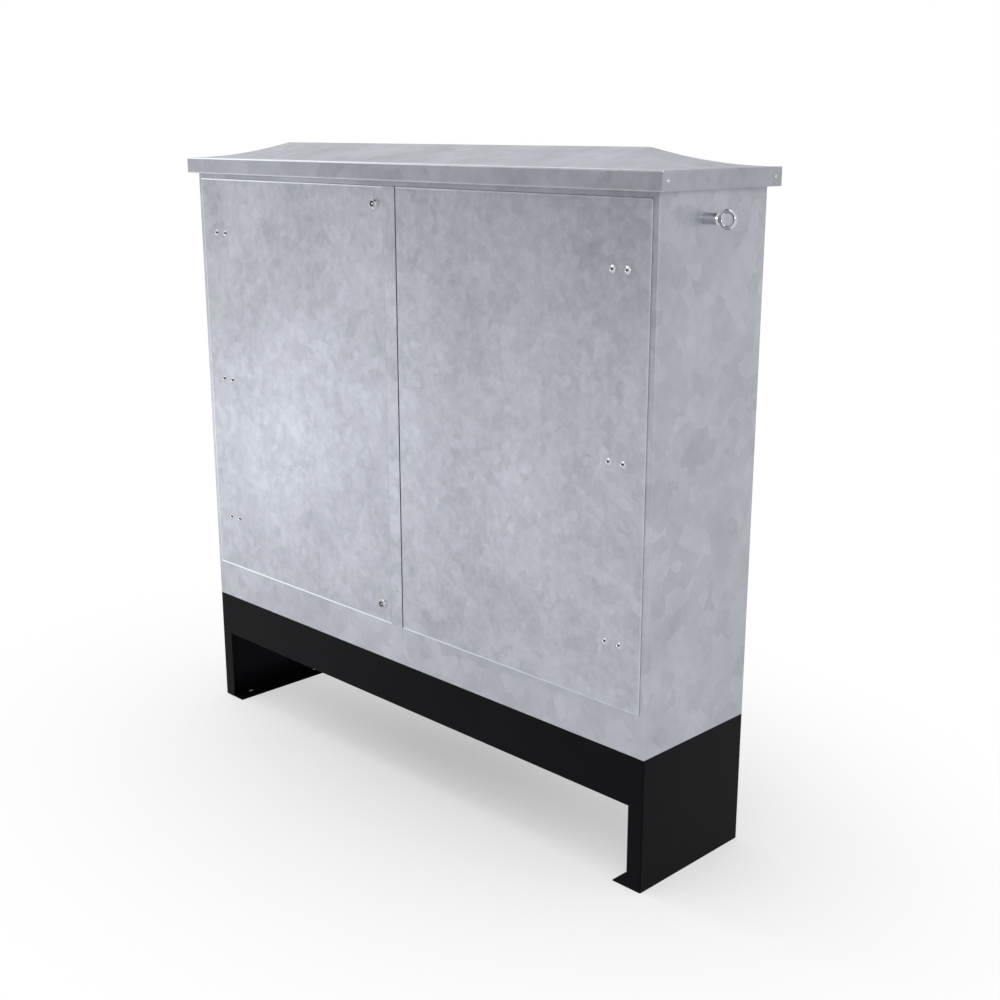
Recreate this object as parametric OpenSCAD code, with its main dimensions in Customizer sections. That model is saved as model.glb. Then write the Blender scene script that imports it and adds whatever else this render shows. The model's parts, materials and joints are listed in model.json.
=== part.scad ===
// Feeder pillar: a two-door galvanised street cabinet on a black root, with a shallow hipped canopy.
// Front faces -Y, right-hand door lies at +X, and the origin is on the ground under the middle.

/* [Overall] */
// Width of the body and of the root
body_w = 2000; // [1800:10:2400]
// Depth of the body and of the root
body_d = 450; // [430:10:600]
// Height of the root
root_h = 400; // [330:10:600]
// Height from the top of the root to the ridge of the canopy
pillar_h = 1600; // [1450:10:1900]

/* [Root] */
// Sheet thickness of the root
root_sheet = 3; // [2:0.5:5]
// Width of the legs beside the cable gap
leg_w = 50; // [40:5:80]
// Height of the beams above the cable gap
beam_h = 150; // [100:10:200]
// Width of the foot flanges on the ground
foot_w = 100; // [80:5:160]
// Width of the flanges turned in at the top of the root and the bottom of the body
joint_flange = 50; // [44:2:60]
// Diameter of the ground bolt holes in the feet
ground_hole_d = 18; // [12:1:24]
// Distance from front to back between the ground bolt holes
ground_hole_pitch = 300; // [200:10:340]
// Thread diameter of the bolts that hold the body to the root
root_bolt_d = 12; // [8:1:14]
// Distance between those bolts, from front to back
root_bolt_pitch = 150; // [100:10:160]

/* [Body] */
// Sheet thickness of the side panels, rails and back
body_sheet = 3; // [2:0.5:4]
// Inside radius of the folded corners
bend_inner_r = 1.5; // [1:0.5:3]
// Width of the frame strip that shows beside the doors
strip_w = 20; // [18:1:26]
// Height of the sill that shows below the doors
sill_h = 124; // [90:2:160]
// Height of the frame strip that shows between the doors and the canopy
head_h = 16; // [10:1:30]
// How far the doors lap over the frame strips
strip_lap = 2; // [1:0.5:4]
// Depth of the step in the frame that holds the seals
rebate_depth = 8; // [6:0.5:10]
// Width of the step at the sides
rebate_w = 28; // [24:1:30]
// Height of the step in the sill and the head rail
rail_rebate = 30; // [26:1:36]
// Depth of the lips that the cams and shoot bolts catch behind
lip_d = 18; // [12:1:20]
// Width of the flanges turned in at the back of the side panels
rear_flange = 25; // [20:1:40]
// How far the walls rise inside the canopy
wall_rise = 40; // [30:1:44]
// Width of the flanges at the top of the walls
top_flange = 40; // [30:1:50]
// Distance between the screws of the back panel
back_screw_pitch = 200; // [120:10:300]
// Distance from the sides of the body to those screws
back_screw_inset = 15; // [13:0.5:16]
// Thread diameter of the screws of the back panel
back_screw_d = 5; // [4:0.5:6]

/* [Doors] */
// Sheet thickness of the doors
door_sheet = 2.5; // [2:0.5:3]
// Clearance between the doors and the frame strips
door_gap = 0.5; // [0.3:0.1:1]
// Radius of the doors' front edges
door_edge_r = 2; // [1:0.25:2]
// Radius of the doors' corners
door_corner_r = 7; // [3:1:15]
// Place of the gap between the doors, from the middle
meet_x = 21.5; // [10:0.5:30]
// Width of the gap between the doors
meet_gap = 5; // [3:0.5:8]
// Width of the flat meeting strip on the left door
meet_strip_w = 52; // [46:1:60]
// Width of the joggled flange that carries the meeting strip
meet_flange_w = 20; // [12:1:24]
// Width of the centre post behind the meeting edges
post_w = 65; // [55:1:70]
// Depth of the centre post
post_d = 27; // [20:1:30]
// Depth of the stiffeners inside the doors
hat_d = 20; // [12:1:30]
// Width of the stiffeners across their flanges
hat_w = 50; // [40:1:60]
// Width of each flange of a stiffener
hat_flange = 12; // [8:1:14]
// Sheet thickness of the stiffeners
hat_sheet = 1.5; // [1:0.5:2]
// Distance from the middle of the cabinet to the inner upright stiffeners
hat_inner_x = 150; // [145:5:200]
// Distance from the doors' outer edges to the outer upright stiffeners
hat_outer_inset = 180; // [170:5:220]

/* [Seals] */
// Width of the rubber seals
seal_w = 20; // [14:1:22]
// Clearance between the seals and the doors
seal_gap = 0.3; // [0.2:0.1:0.5]

/* [Hinges] */
// Distance from the middle hinge to the upper and the lower ones
hinge_pitch = 500; // [350:10:560]
// Height of the hinge arms
arm_h = 40; // [30:1:50]
// Thickness of the bent hinge arms
arm_t = 4; // [3:0.5:5]
// Inside radius of the bends in the arms
arm_bend_r = 4; // [3:0.5:5]
// Outer radius of the hinge knuckles
knuckle_r = 5; // [4.5:0.5:6]
// Clearance between the knuckles and the side walls
knuckle_clear = 1; // [0.5:0.25:2]
// Distance from the front of the frame back to the hinge pins
pivot_back = 20; // [19:0.5:22]
// Diameter of the hinge pins
pin_d = 6; // [5:0.5:6]
// Running clearance round the pins, on the radius
pin_clear = 0.05; // [0.02:0.01:0.1]
// Height of the fixed lugs above and below each arm
lug_h = 10; // [8:1:14]
// Clearance between an arm and its lugs
lug_clear = 0.3; // [0.2:0.1:0.5]
// Distance from the opening's edge to the necks of the arms
neck_inset = 20; // [16:1:30]
// Room left between a swung arm and the frame's step
swing_clear = 4.3; // [3:0.1:6]
// Distance from the door's outer edge to the nearer hinge bolts
hinge_bolt_inset = 75; // [72:1:80]
// Distance between the two bolts of a hinge
hinge_bolt_pitch = 50; // [40:1:60]
// Thread diameter of the hinge bolts
hinge_bolt_d = 8; // [6:1:10]
// Diameter of the domed heads of the hinge bolts
hinge_head_d = 22; // [18:0.5:24]
// Height of the domed heads of the hinge bolts
hinge_head_h = 5; // [4:0.5:6]

/* [Locks] */
// Distance from the middle of the cabinet to the locks, on the left door
lock_x = 73; // [68:1:76]
// Distance from the top of the door down to the upper lock
lock_top_drop = 52; // [46:1:56]
// Distance from the bottom of the door up to the lower lock
lock_bottom_rise = 60; // [50:1:62]
// Diameter of the lock flanges
lock_flange_d = 32; // [28:1:36]
// Height of the locks in front of the door
lock_proud = 9; // [7:0.5:12]
// Diameter of the threaded barrels
lock_barrel_d = 22; // [18:1:24]
// Diameter of the turning spindles
spindle_d = 12; // [10:1:13]
// Length of the cams from the spindle's middle
cam_l = 45; // [40:1:50]
// Width of the cams
cam_w = 20; // [16:1:24]
// Thickness of the cams
cam_t = 4; // [3:0.5:5]
// Diameter of the shoot bolts on the right door
shoot_d = 12; // [8:1:14]
// Length of the shoot bolts
shoot_l = 146; // [140:2:180]
// Travel of the shoot bolts
shoot_travel = 25; // [15:1:28]
// Distance from the middle of the cabinet to the shoot bolts
shoot_x = 80; // [78:1:90]

/* [Canopy] */
// Sheet thickness of the canopy
canopy_sheet = 2; // [1.5:0.5:3]
// How far the canopy stands out past the body
canopy_over = 25; // [20:1:60]
// Height of the canopy's rim
rim_h = 50; // [46:1:80]
// Rise of the ridge above the rim
roof_rise = 50; // [40:1:120]
// Distance from the canopy's ends to the creases
hip_l = 240; // [150:10:300]
// Width of the flange turned in at the bottom of the rim
rim_lip = 12; // [6:1:14]
// Distance from the rim's corners to the corner screws
corner_screw_inset = 25; // [18:1:30]
// Thread diameter of the corner screws
corner_screw_d = 5; // [4:0.5:6]
// Distance from the creases to the outer bearers under the roof
bearer_inset = 95; // [40:5:200]
// Sheet thickness of the bearers
bearer_sheet = 3; // [2:0.5:4]
// Thread diameter of the bearers' bolts
bearer_bolt_d = 8; // [6:1:10]

/* [Lifting eyes] */
// Height of the eyes below the canopy
eye_drop = 72; // [50:1:120]
// Distance of the eyes in front of the middle
eye_front = 42; // [0:1:80]
// Diameter of the eyes' barrels
eye_barrel_d = 30; // [24:1:36]
// Length of the eyes' barrels
eye_barrel_l = 46; // [30:1:60]
// Radius of the ring, to the middle of its bar
eye_ring_r = 20.5; // [18:0.5:24]
// Thickness of the ring's bar
eye_bar_d = 11; // [8:0.5:13]
// Thread diameter of the eyes' shanks
eye_thread_d = 16; // [12:1:20]

/* [Equipment] */
// Thickness of the plywood backboard
board_t = 18; // [12:1:25]
// Gap between the backboard and the side walls
board_side_gap = 97; // [60:1:140]
// Height of the backboard's lower edge above the base plate
board_rise = 235; // [220:5:300]
// Gap between the backboard's upper edge and the top of the opening
board_top_gap = 70; // [40:5:120]
// Distance from the backboard's edges to the channels that carry it
board_rail_inset = 110; // [80:5:150]
// Distance from the backboard's ends to its outer screws
board_screw_inset = 90; // [60:5:150]
// Thread diameter of the backboard's screws
board_screw_d = 6; // [5:0.5:8]
// How far the backboard's screws reach past its back
board_screw_over = 12; // [8:1:16]
// Depth of the channels behind the board and of the cable clamp rail
channel_d = 21; // [18:1:30]
// Height of those channels
channel_h = 41; // [30:1:50]
// Sheet thickness of those channels
channel_sheet = 2; // [1.5:0.5:3]
// Height of the cable clamp rail above the base plate
clamp_rail_rise = 215; // [150:5:230]
// Gap between the cable clamp rail and the backboard's front
clamp_rail_gap = 92; // [60:1:100]
// Number of slots in the cable clamp rail
clamp_slot_count = 14; // [8:1:20]
// Thickness of the base plate
base_sheet = 2; // [2:0.5:3]
// Thickness of the gland plates
gland_sheet = 3; // [2:0.5:4]
// Distance from the middle of the cabinet to the gland plates
gland_mid_gap = 70; // [40:5:120]
// Distance from the side walls to the gland plates
gland_end_gap = 127; // [115:1:200]
// Width of each gland plate
gland_w = 280; // [200:10:290]
// How far the gland plates lap over their cut-outs
gland_lap = 20; // [16:1:30]
// Thread diameter of the gland plates' screws
gland_screw_d = 6; // [4:0.5:6]
// Length of the gland plates' screws
gland_screw_l = 14; // [12:1:20]
// Thread diameter of the earth stud
earth_d = 12; // [8:1:14]
// Distance from the body's turned-in flange to the earth stud
earth_inset = 27; // [22:1:36]
// Distance of the earth stud in front of the middle
earth_front = 58; // [40:1:66]

/* [Switchgear] */
// Length of the copper bars
bar_l = 1300; // [1060:10:1500]
// Thickness of the copper bars
bar_t = 10; // [8:1:12]
// Height of the three phase bars
phase_bar_h = 60; // [50:5:80]
// Height of the neutral bar and of the earth bar
small_bar_h = 40; // [30:5:50]
// Distance between the phase bars
phase_pitch = 185; // [170:5:200]
// Height of the middle phase bar above the backboard's lower edge
phase_rise = 605; // [590:5:640]
// Height of the neutral bar above the backboard's lower edge
neutral_rise = 160; // [145:5:170]
// Height of the earth bar above the backboard's lower edge
earth_bar_rise = 65; // [55:5:75]
// Height of the bars' insulators
post_insulator_h = 30; // [28:1:35]
// Diameter of the insulators' ribs
post_insulator_d = 44; // [38:1:50]
// Distance from the ends of the bars to their insulators
post_insulator_inset = 60; // [40:5:70]
// Thread diameter of the bolts of the bars and of the cable terminals
bar_bolt_d = 10; // [8:1:12]
// Length of the bolts of the bars and of the cable terminals
bar_bolt_l = 25; // [23:1:28]
// Number of fuse rails
fuse_rail_count = 8; // [2:2:8]
// Distance between the fuse rails
fuse_rail_pitch = 120; // [112:1:125]
// Width of a fuse rail
fuse_rail_w = 88; // [80:1:90]
// Depth of a fuse rail's base
fuse_rail_d = 24; // [20:1:26]
// Height of a fuse rail's cable terminals
terminal_h = 70; // [50:5:80]
// Distance between the cable terminals of a fuse rail
terminal_pitch = 27; // [25:0.5:28]
// Width and depth of a fuse link's body
fuse_link_w = 52; // [44:1:56]
// Height of a fuse link's body
fuse_link_h = 66; // [60:1:70]
// Length of each blade of a fuse link
fuse_blade_l = 40; // [34:1:44]
// Width of the blades of a fuse link
fuse_blade_w = 25; // [20:1:26]
// Thickness of the blades of a fuse link
fuse_blade_t = 6; // [5:0.5:7]

/* [Hidden] */
$fn = 64;

// Colours of the finishes
zinc = [0.66, 0.68, 0.71];
black_paint = [0.13, 0.13, 0.14];
bright_steel = [0.78, 0.79, 0.82];
chrome = [0.86, 0.87, 0.9];
rubber = [0.05, 0.05, 0.05];
plywood = [0.72, 0.56, 0.38];
brass = [0.8, 0.63, 0.3];
copper = [0.78, 0.45, 0.3];
moulded_black = [0.12, 0.12, 0.13];
moulded_brown = [0.4, 0.16, 0.1];
ceramic = [0.92, 0.91, 0.87];

// Joint details that repeat
hole_clear = 0.5;
nut_clear = 0.1;
touch_gap = 0.2;
flange_gap = 2;

// Usual proportions of fasteners, as multiples of the thread's diameter
function nut_flats(d) = 1.6 * d;
function nut_h(d) = 0.8 * d;
function bolt_head_h(d) = 0.6 * d;

// Places of the cabinet's faces
half_w = body_w / 2;
half_d = body_d / 2;
front_y = -half_d;
ridge_z = root_h + pillar_h;
rim_top_z = ridge_z - roof_rise;
rim_z = rim_top_z - rim_h;
wall_top_z = rim_z + wall_rise;
bend_r = bend_inner_r + body_sheet;

// Places of the doors and of the frame behind their edges
door_x = half_w - strip_w;
door_z0 = root_h + sill_h;
door_z1 = rim_z - head_h;
door_mid_z = (door_z0 + door_z1) / 2;
strip_x = door_x - strip_lap;
opening_x = strip_x - rebate_w;
sill_z = door_z0 + strip_lap;
sill_open_z = sill_z + rail_rebate;
head_z = door_z1 - strip_lap;
head_open_z = head_z - rail_rebate;
rebate_y = front_y + rebate_depth;
rebate_back_y = rebate_y + body_sheet;
skin_y = front_y - door_gap;
skin_front_y = skin_y - door_sheet;
left_edge_x = meet_x - meet_gap / 2;
right_edge_x = meet_x + meet_gap / 2;
strip_start_x = left_edge_x - meet_strip_w;
post_offset = 1;
post_x0 = meet_x + post_offset - post_w / 2;
seal_y = skin_y + seal_gap;

// Places of the hinges
wall_x = half_w - body_sheet;
pivot_x = wall_x - knuckle_clear - knuckle_r;
pivot_y = front_y + pivot_back;
step_reach = norm([pivot_x - opening_x, pivot_y - rebate_y]);
arm_back_y = pivot_y + step_reach + swing_clear + arm_t;
neck_x = opening_x - neck_inset;
hinge_bolt_x = door_x - hinge_bolt_inset;
leaf_margin = 15;
leaf_end_x = hinge_bolt_x - hinge_bolt_pitch - leaf_margin;
hinge_zs = [for (i = [-1:1]) door_mid_z + i * hinge_pitch];

// Places of the locks and of the shoot bolts
lock_top_z = door_z1 - lock_top_drop;
lock_bottom_z = door_z0 + lock_bottom_rise;
catch_clear = 3;
catch_y = rebate_y + lip_d + catch_clear;
spindle_clear = 0.05;
shoot_y = catch_y + shoot_d / 2;
shoot_rest_gap = 6;
shoot_end_z = head_open_z - shoot_rest_gap;
guide_w = 36;
guide_sheet = 3;
guide_lug_h = 10;
guide_lug_pitch = 80;
guide_lug_drop = 22;

// Places inside the cabinet
base_z = root_h + body_sheet;
floor_z = base_z + base_sheet;
back_y = half_d - body_sheet;
back_inner_y = back_y - body_sheet;
board_x = wall_x - board_side_gap;
board_y = back_inner_y - channel_d - board_t;
board_z0 = floor_z + board_rise;
board_z1 = head_open_z - board_top_gap;
board_rail_zs = [board_z0 + board_rail_inset, board_z1 - board_rail_inset];
rail_over = 30;
clamp_rail_y = board_y - clamp_rail_gap - channel_d;
clamp_rail_z = floor_z + clamp_rail_rise;
panel_side_gap = 7;
base_side_gap = 5;
base_front_lap = 20;
gland_x0 = gland_mid_gap;
gland_x1 = wall_x - gland_end_gap;
earth_x = wall_x - joint_flange - earth_inset;
back_screw_count = floor((wall_top_z - root_h - 2 * rear_flange) / back_screw_pitch) + 1;

// Places of the switchgear
bar_back_y = board_y - post_insulator_h;
bar_front_y = bar_back_y - bar_t;
phase_mid_z = board_z0 + phase_rise;
phase_zs = [for (i = [-1:1]) phase_mid_z + i * phase_pitch];
neutral_z = board_z0 + neutral_rise;
earth_bar_z = board_z0 + earth_bar_rise;
post_insulator_x = bar_l / 2 - post_insulator_inset;
fuse_base_y = bar_front_y - fuse_rail_d;
link_base_gap = 6;
link_y = fuse_base_y - link_base_gap - fuse_link_w / 2;
fuse_rail_margin = 14;
fuse_rail_top = phase_pitch + fuse_link_h / 2 + fuse_blade_l + fuse_rail_margin;
fuse_rail_low = -fuse_rail_top - terminal_h;

// A box between two opposite corners
module block(from, to) {
    translate(from)
        cube(to - from);
}

// The same shape again on the other side of the middle
module mirrored() {
    mirror([1, 0, 0])
        children();
}

// A rectangle whose corners are rounded, one radius for each, anticlockwise from the low corner
module corner_rect(from, to, radii) {
    corners = [from, [to[0], from[1]], to, [from[0], to[1]]];
    inward = [[1, 1], [-1, 1], [-1, -1], [1, -1]];
    difference() {
        translate(from)
            square(to - from);
        for (i = [0:3])
            if (radii[i] > 0)
                translate(corners[i])
                    scale_quadrant(inward[i])
                        difference() {
                            translate([-1, -1])
                                square(radii[i] + 1);
                            translate([radii[i], radii[i]])
                                circle(r = radii[i]);
                            translate([radii[i], -2])
                                square(radii[i] + 3);
                            translate([-2, radii[i]])
                                square(radii[i] + 3);
                        }
    }
}

// Turns a first-quadrant shape into another quadrant
module scale_quadrant(sign) {
    mirror([sign[0] < 0 ? 1 : 0, 0])
        mirror([0, sign[1] < 0 ? 1 : 0])
            children();
}

// A quarter of a bend in sheet, with its centre at the origin, in the quadrant given by sign
module quarter_bend(outer_r, sheet, sign) {
    scale_quadrant(sign)
        intersection() {
            difference() {
                circle(r = outer_r);
                circle(r = outer_r - sheet);
            }
            square(outer_r);
        }
}

// A domed cap that stands on the origin along +Z
module dome(d, h) {
    sphere_r = (d * d / 4 + h * h) / (2 * h);
    intersection() {
        translate([0, 0, h - sphere_r])
            sphere(r = sphere_r, $fn = 96);
        cylinder(d = d, h = h);
    }
}

// A hexagon prism measured across its flats
module hexagon(flats, h) {
    cylinder(d = flats / cos(30), h = h, $fn = 6);
}

// A nut along +Z with a plain bore
module nut(thread_d) {
    difference() {
        hexagon(nut_flats(thread_d), nut_h(thread_d));
        translate([0, 0, -1])
            cylinder(d = thread_d + 2 * nut_clear, h = thread_d + 2);
    }
}

// A pan-head screw: its head stands on the origin along +Z and its shank runs down
module pan_screw(d, shank_l) {
    dome(d * 2.2, d * 0.55);
    translate([0, 0, -shank_l])
        cylinder(d = d, h = shank_l + 0.5);
}

// Profile across a folded channel: a web with two flanges, open towards +Y
module channel_profile(h, d, sheet) {
    difference() {
        square([h, d]);
        translate([sheet, sheet])
            square([h - 2 * sheet, d]);
    }
}

// Root

// Profile from above of one side of the root: the side plate with a leg folded in at each end
module root_side_profile() {
    r = bend_inner_r + root_sheet;
    for (sign = [-1, 1]) {
        translate([half_w - r, sign * (half_d - r)])
            quarter_bend(r, root_sheet, [1, sign]);
        corner_y = sign * half_d;
        inner_y = corner_y - sign * root_sheet;
        translate([half_w - leg_w, min(corner_y, inner_y)])
            square([leg_w - r, root_sheet]);
    }
    translate([half_w - root_sheet, -half_d + r])
        square([root_sheet, body_d - 2 * r]);
}

module root_side() {
    color(black_paint) {
        linear_extrude(height = root_h)
            root_side_profile();
        difference() {
            block([half_w - foot_w, -half_d + root_sheet, 0],
                  [half_w - root_sheet, half_d - root_sheet, root_sheet]);
            for (sign = [-1, 1])
                translate([half_w - foot_w / 2, sign * ground_hole_pitch / 2, -1])
                    cylinder(d = ground_hole_d, h = root_sheet + 2);
        }
        difference() {
            block([half_w - root_sheet - joint_flange, -half_d + root_sheet, root_h - root_sheet],
                  [half_w - root_sheet, half_d - root_sheet, root_h]);
            at_root_bolts()
                cylinder(d = root_bolt_d + 2 * hole_clear, h = 4 * root_sheet, center = true);
        }
        for (sign = [-1, 1]) {
            corner_y = sign * half_d;
            inner_y = corner_y - sign * root_sheet;
            block([half_w - foot_w, min(corner_y, inner_y), 0],
                  [half_w - leg_w, max(corner_y, inner_y), root_sheet]);
        }
    }
}

module root_beam() {
    edge_x = half_w - leg_w;
    flange_x = half_w - root_sheet - joint_flange;
    color(black_paint) {
        block([-edge_x, -half_d, root_h - beam_h], [edge_x, -half_d + root_sheet, root_h]);
        block([-flange_x, -half_d, root_h - root_sheet], [flange_x, -half_d + joint_flange, root_h]);
        block([-edge_x, -half_d, root_h - beam_h],
              [edge_x, -half_d + joint_flange / 2, root_h - beam_h + root_sheet]);
    }
}

// Places of the bolts along one side of the root, at the top of its flange
module at_root_bolts() {
    for (i = [-1:1])
        translate([wall_x - joint_flange / 2, i * root_bolt_pitch, root_h])
            children();
}

module root_bolts() {
    tail_l = 1.2 * root_bolt_d;
    color(bright_steel)
        for (side = [0, 1])
            mirror([side, 0, 0])
                at_root_bolts() {
                    translate([0, 0, floor_z - root_h])
                        hexagon(nut_flats(root_bolt_d), bolt_head_h(root_bolt_d));
                    translate([0, 0, -root_sheet - tail_l])
                        cylinder(d = root_bolt_d, h = root_sheet + tail_l + floor_z - root_h + 1);
                }
}

module root_nuts() {
    color(bright_steel)
        for (side = [0, 1])
            mirror([side, 0, 0])
                at_root_bolts()
                    translate([0, 0, -root_sheet - nut_h(root_bolt_d)])
                        nut(root_bolt_d);
}

// Body

// Profile from above of the right side panel: rear flange, wall, frame strip and step for the seal
module body_side_profile() {
    translate([half_w - bend_r, half_d - bend_r])
        quarter_bend(bend_r, body_sheet, [1, 1]);
    translate([half_w - bend_r, -half_d + bend_r])
        quarter_bend(bend_r, body_sheet, [1, -1]);
    translate([half_w - rear_flange, half_d - body_sheet])
        square([rear_flange - bend_r, body_sheet]);
    translate([half_w - body_sheet, -half_d + bend_r])
        square([body_sheet, body_d - 2 * bend_r]);
    translate([strip_x, -half_d])
        square([half_w - bend_r - strip_x, body_sheet]);
    translate([strip_x, -half_d])
        square([body_sheet, rebate_depth + body_sheet]);
    translate([opening_x, rebate_y])
        square([strip_x + body_sheet - opening_x, body_sheet]);
}

module body_side() {
    flange_y = half_d - rear_flange - body_sheet;
    color(zinc)
        difference() {
            union() {
                translate([0, 0, root_h])
                    linear_extrude(height = wall_top_z - root_h)
                        body_side_profile();
                block([wall_x - joint_flange, -flange_y, root_h], [wall_x, flange_y, base_z]);
                block([wall_x - top_flange, -flange_y, wall_top_z - body_sheet],
                      [wall_x, flange_y, wall_top_z]);
            }
            at_root_bolts()
                cylinder(d = root_bolt_d + 2 * hole_clear, h = 4 * body_sheet, center = true);
            at_back_screws()
                rotate([90, 0, 0])
                    cylinder(d = back_screw_d + hole_clear, h = 4 * body_sheet, center = true);
            translate([half_w, -eye_front, rim_z - eye_drop])
                rotate([0, 90, 0])
                    cylinder(d = eye_thread_d + 2 * hole_clear, h = 4 * body_sheet, center = true);
        }
}

// Places of the screws in the rear flange of one side panel
module at_back_screws() {
    low_z = (root_h + wall_top_z - (back_screw_count - 1) * back_screw_pitch) / 2;
    for (i = [0:back_screw_count - 1])
        translate([half_w - back_screw_inset, half_d, low_z + i * back_screw_pitch])
            children();
}

module back_panel() {
    edge_x = wall_x - panel_side_gap;
    flange_x = wall_x - joint_flange - flange_gap;
    color(zinc)
        difference() {
            union() {
                block([-edge_x, back_inner_y, root_h], [edge_x, back_y, wall_top_z]);
                block([-flange_x, back_y - joint_flange, root_h], [flange_x, back_y, base_z]);
                block([-flange_x, back_y - top_flange, wall_top_z - body_sheet],
                      [flange_x, back_y, wall_top_z]);
            }
            for (side = [0, 1])
                mirror([side, 0, 0])
                    at_back_screws()
                        rotate([90, 0, 0])
                            cylinder(d = back_screw_d + hole_clear, h = 6 * body_sheet, center = true);
            at_bearer_bolts(1)
                cylinder(d = bearer_bolt_d + hole_clear, h = 6 * body_sheet, center = true);
        }
}

module back_panel_screws() {
    color(bright_steel)
        for (side = [0, 1])
            mirror([side, 0, 0])
                at_back_screws()
                    rotate([-90, 0, 0])
                        pan_screw(back_screw_d, 2 * body_sheet + 6);
}

module head_rail() {
    flange_x = wall_x - joint_flange - flange_gap;
    color(zinc)
        difference() {
            union() {
                block([-strip_x, front_y, head_z], [strip_x, front_y + body_sheet, wall_top_z]);
                block([-opening_x, front_y, head_z], [opening_x, rebate_back_y, head_z + body_sheet]);
                block([-opening_x, rebate_y, head_open_z], [opening_x, rebate_back_y, head_z + body_sheet]);
                block([-opening_x, rebate_y, head_open_z],
                      [opening_x, rebate_y + lip_d, head_open_z + body_sheet]);
                block([-flange_x, front_y, wall_top_z - body_sheet],
                      [flange_x, front_y + top_flange, wall_top_z]);
            }
            at_bearer_bolts(-1)
                cylinder(d = bearer_bolt_d + hole_clear, h = 6 * body_sheet, center = true);
        }
}

module sill_rail() {
    flange_x = wall_x - joint_flange - flange_gap;
    color(zinc) {
        block([-strip_x, front_y, root_h], [strip_x, front_y + body_sheet, sill_z]);
        block([-opening_x, front_y, sill_z - body_sheet], [opening_x, rebate_back_y, sill_z]);
        block([-opening_x, rebate_y, sill_z - body_sheet], [opening_x, rebate_back_y, sill_open_z]);
        block([-opening_x, rebate_y, sill_open_z - body_sheet], [opening_x, rebate_y + lip_d, sill_open_z]);
        block([-flange_x, front_y, root_h], [flange_x, front_y + joint_flange, base_z]);
    }
}

module centre_post() {
    color(zinc)
        translate([0, 0, sill_open_z])
            linear_extrude(height = head_open_z - sill_open_z)
                translate([post_x0, rebate_y])
                    channel_profile(post_w, post_d, body_sheet);
}

module base_plate() {
    edge_x = wall_x - base_side_gap;
    color(zinc)
        difference() {
            block([-edge_x, front_y + joint_flange - base_front_lap, base_z],
                  [edge_x, back_inner_y - base_side_gap, floor_z]);
            for (side = [0, 1])
                mirror([side, 0, 0]) {
                    at_root_bolts()
                        cylinder(d = root_bolt_d + 2 * hole_clear, h = 60, center = true);
                    block([gland_x0 + gland_lap, -gland_w / 2 + gland_lap, base_z - 1],
                          [gland_x1 - gland_lap, gland_w / 2 - gland_lap, floor_z + 1]);
                    at_gland_screws()
                        cylinder(d = gland_screw_d + hole_clear, h = 60, center = true);
                }
            translate([earth_x, -earth_front, base_z - 1])
                cylinder(d = earth_d + 2 * hole_clear, h = base_sheet + 2);
        }
}

// Places of the screws round one gland plate, on its top face
module at_gland_screws() {
    inset = gland_lap / 2;
    for (x = [gland_x0 + inset, (gland_x0 + gland_x1) / 2, gland_x1 - inset])
        for (sign = [-1, 1])
            translate([x, sign * (gland_w / 2 - inset), floor_z + gland_sheet])
                children();
}

module gland_plate() {
    color(zinc)
        difference() {
            block([gland_x0, -gland_w / 2, floor_z], [gland_x1, gland_w / 2, floor_z + gland_sheet]);
            at_gland_screws()
                cylinder(d = gland_screw_d + hole_clear, h = 60, center = true);
        }
}

module gland_plate_screws() {
    color(bright_steel)
        for (side = [0, 1])
            mirror([side, 0, 0])
                at_gland_screws()
                    pan_screw(gland_screw_d, gland_screw_l);
}

// Canopy

canopy_x = half_w + canopy_over;
canopy_y = half_d + canopy_over;
hip_steps = 8;
slope_steps = 5;

// Height of the roof's outer face: both slopes fall straight to the rim, and the ends fade out past the
// creases
function roof_z(x, y) =
    rim_top_z + roof_rise * (1 - abs(y) / canopy_y) * min(1, (canopy_x - abs(x)) / hip_l);

// Lines of the roof's grid, closer together over the curved ends
roof_xs = concat(
    [for (i = [0:hip_steps]) -canopy_x + i * hip_l / hip_steps],
    [for (i = [0:hip_steps]) canopy_x - hip_l + i * hip_l / hip_steps]
);
roof_ys = [for (j = [-slope_steps:slope_steps]) canopy_y * j / slope_steps];

// The roof sheet as a closed skin: an upper and a lower grid, joined round the edge
module roof_skin() {
    nx = len(roof_xs);
    ny = len(roof_ys);
    upper = [for (x = roof_xs) for (y = roof_ys) [x, y, roof_z(x, y)]];
    lower = [for (p = upper) p - [0, 0, canopy_sheet]];
    function at(i, j, layer) = (layer * nx + i) * ny + j;
    tops = [for (i = [0:nx - 2]) for (j = [0:ny - 2]) for (half = [0, 1])
        half == 0
            ? [at(i, j, 0), at(i, j + 1, 0), at(i + 1, j + 1, 0)]
            : [at(i, j, 0), at(i + 1, j + 1, 0), at(i + 1, j, 0)]];
    bottoms = [for (i = [0:nx - 2]) for (j = [0:ny - 2]) for (half = [0, 1])
        half == 0
            ? [at(i, j, 1), at(i + 1, j + 1, 1), at(i, j + 1, 1)]
            : [at(i, j, 1), at(i + 1, j, 1), at(i + 1, j + 1, 1)]];
    fronts = [for (i = [0:nx - 2]) [at(i, 0, 0), at(i + 1, 0, 0), at(i + 1, 0, 1), at(i, 0, 1)]];
    rears = [for (i = [0:nx - 2])
        [at(i + 1, ny - 1, 0), at(i, ny - 1, 0), at(i, ny - 1, 1), at(i + 1, ny - 1, 1)]];
    lefts = [for (j = [0:ny - 2]) [at(0, j + 1, 0), at(0, j, 0), at(0, j, 1), at(0, j + 1, 1)]];
    rights = [for (j = [0:ny - 2])
        [at(nx - 1, j, 0), at(nx - 1, j + 1, 0), at(nx - 1, j + 1, 1), at(nx - 1, j, 1)]];
    polyhedron(points = concat(upper, lower), faces = concat(tops, bottoms, fronts, rears, lefts, rights));
}

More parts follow.
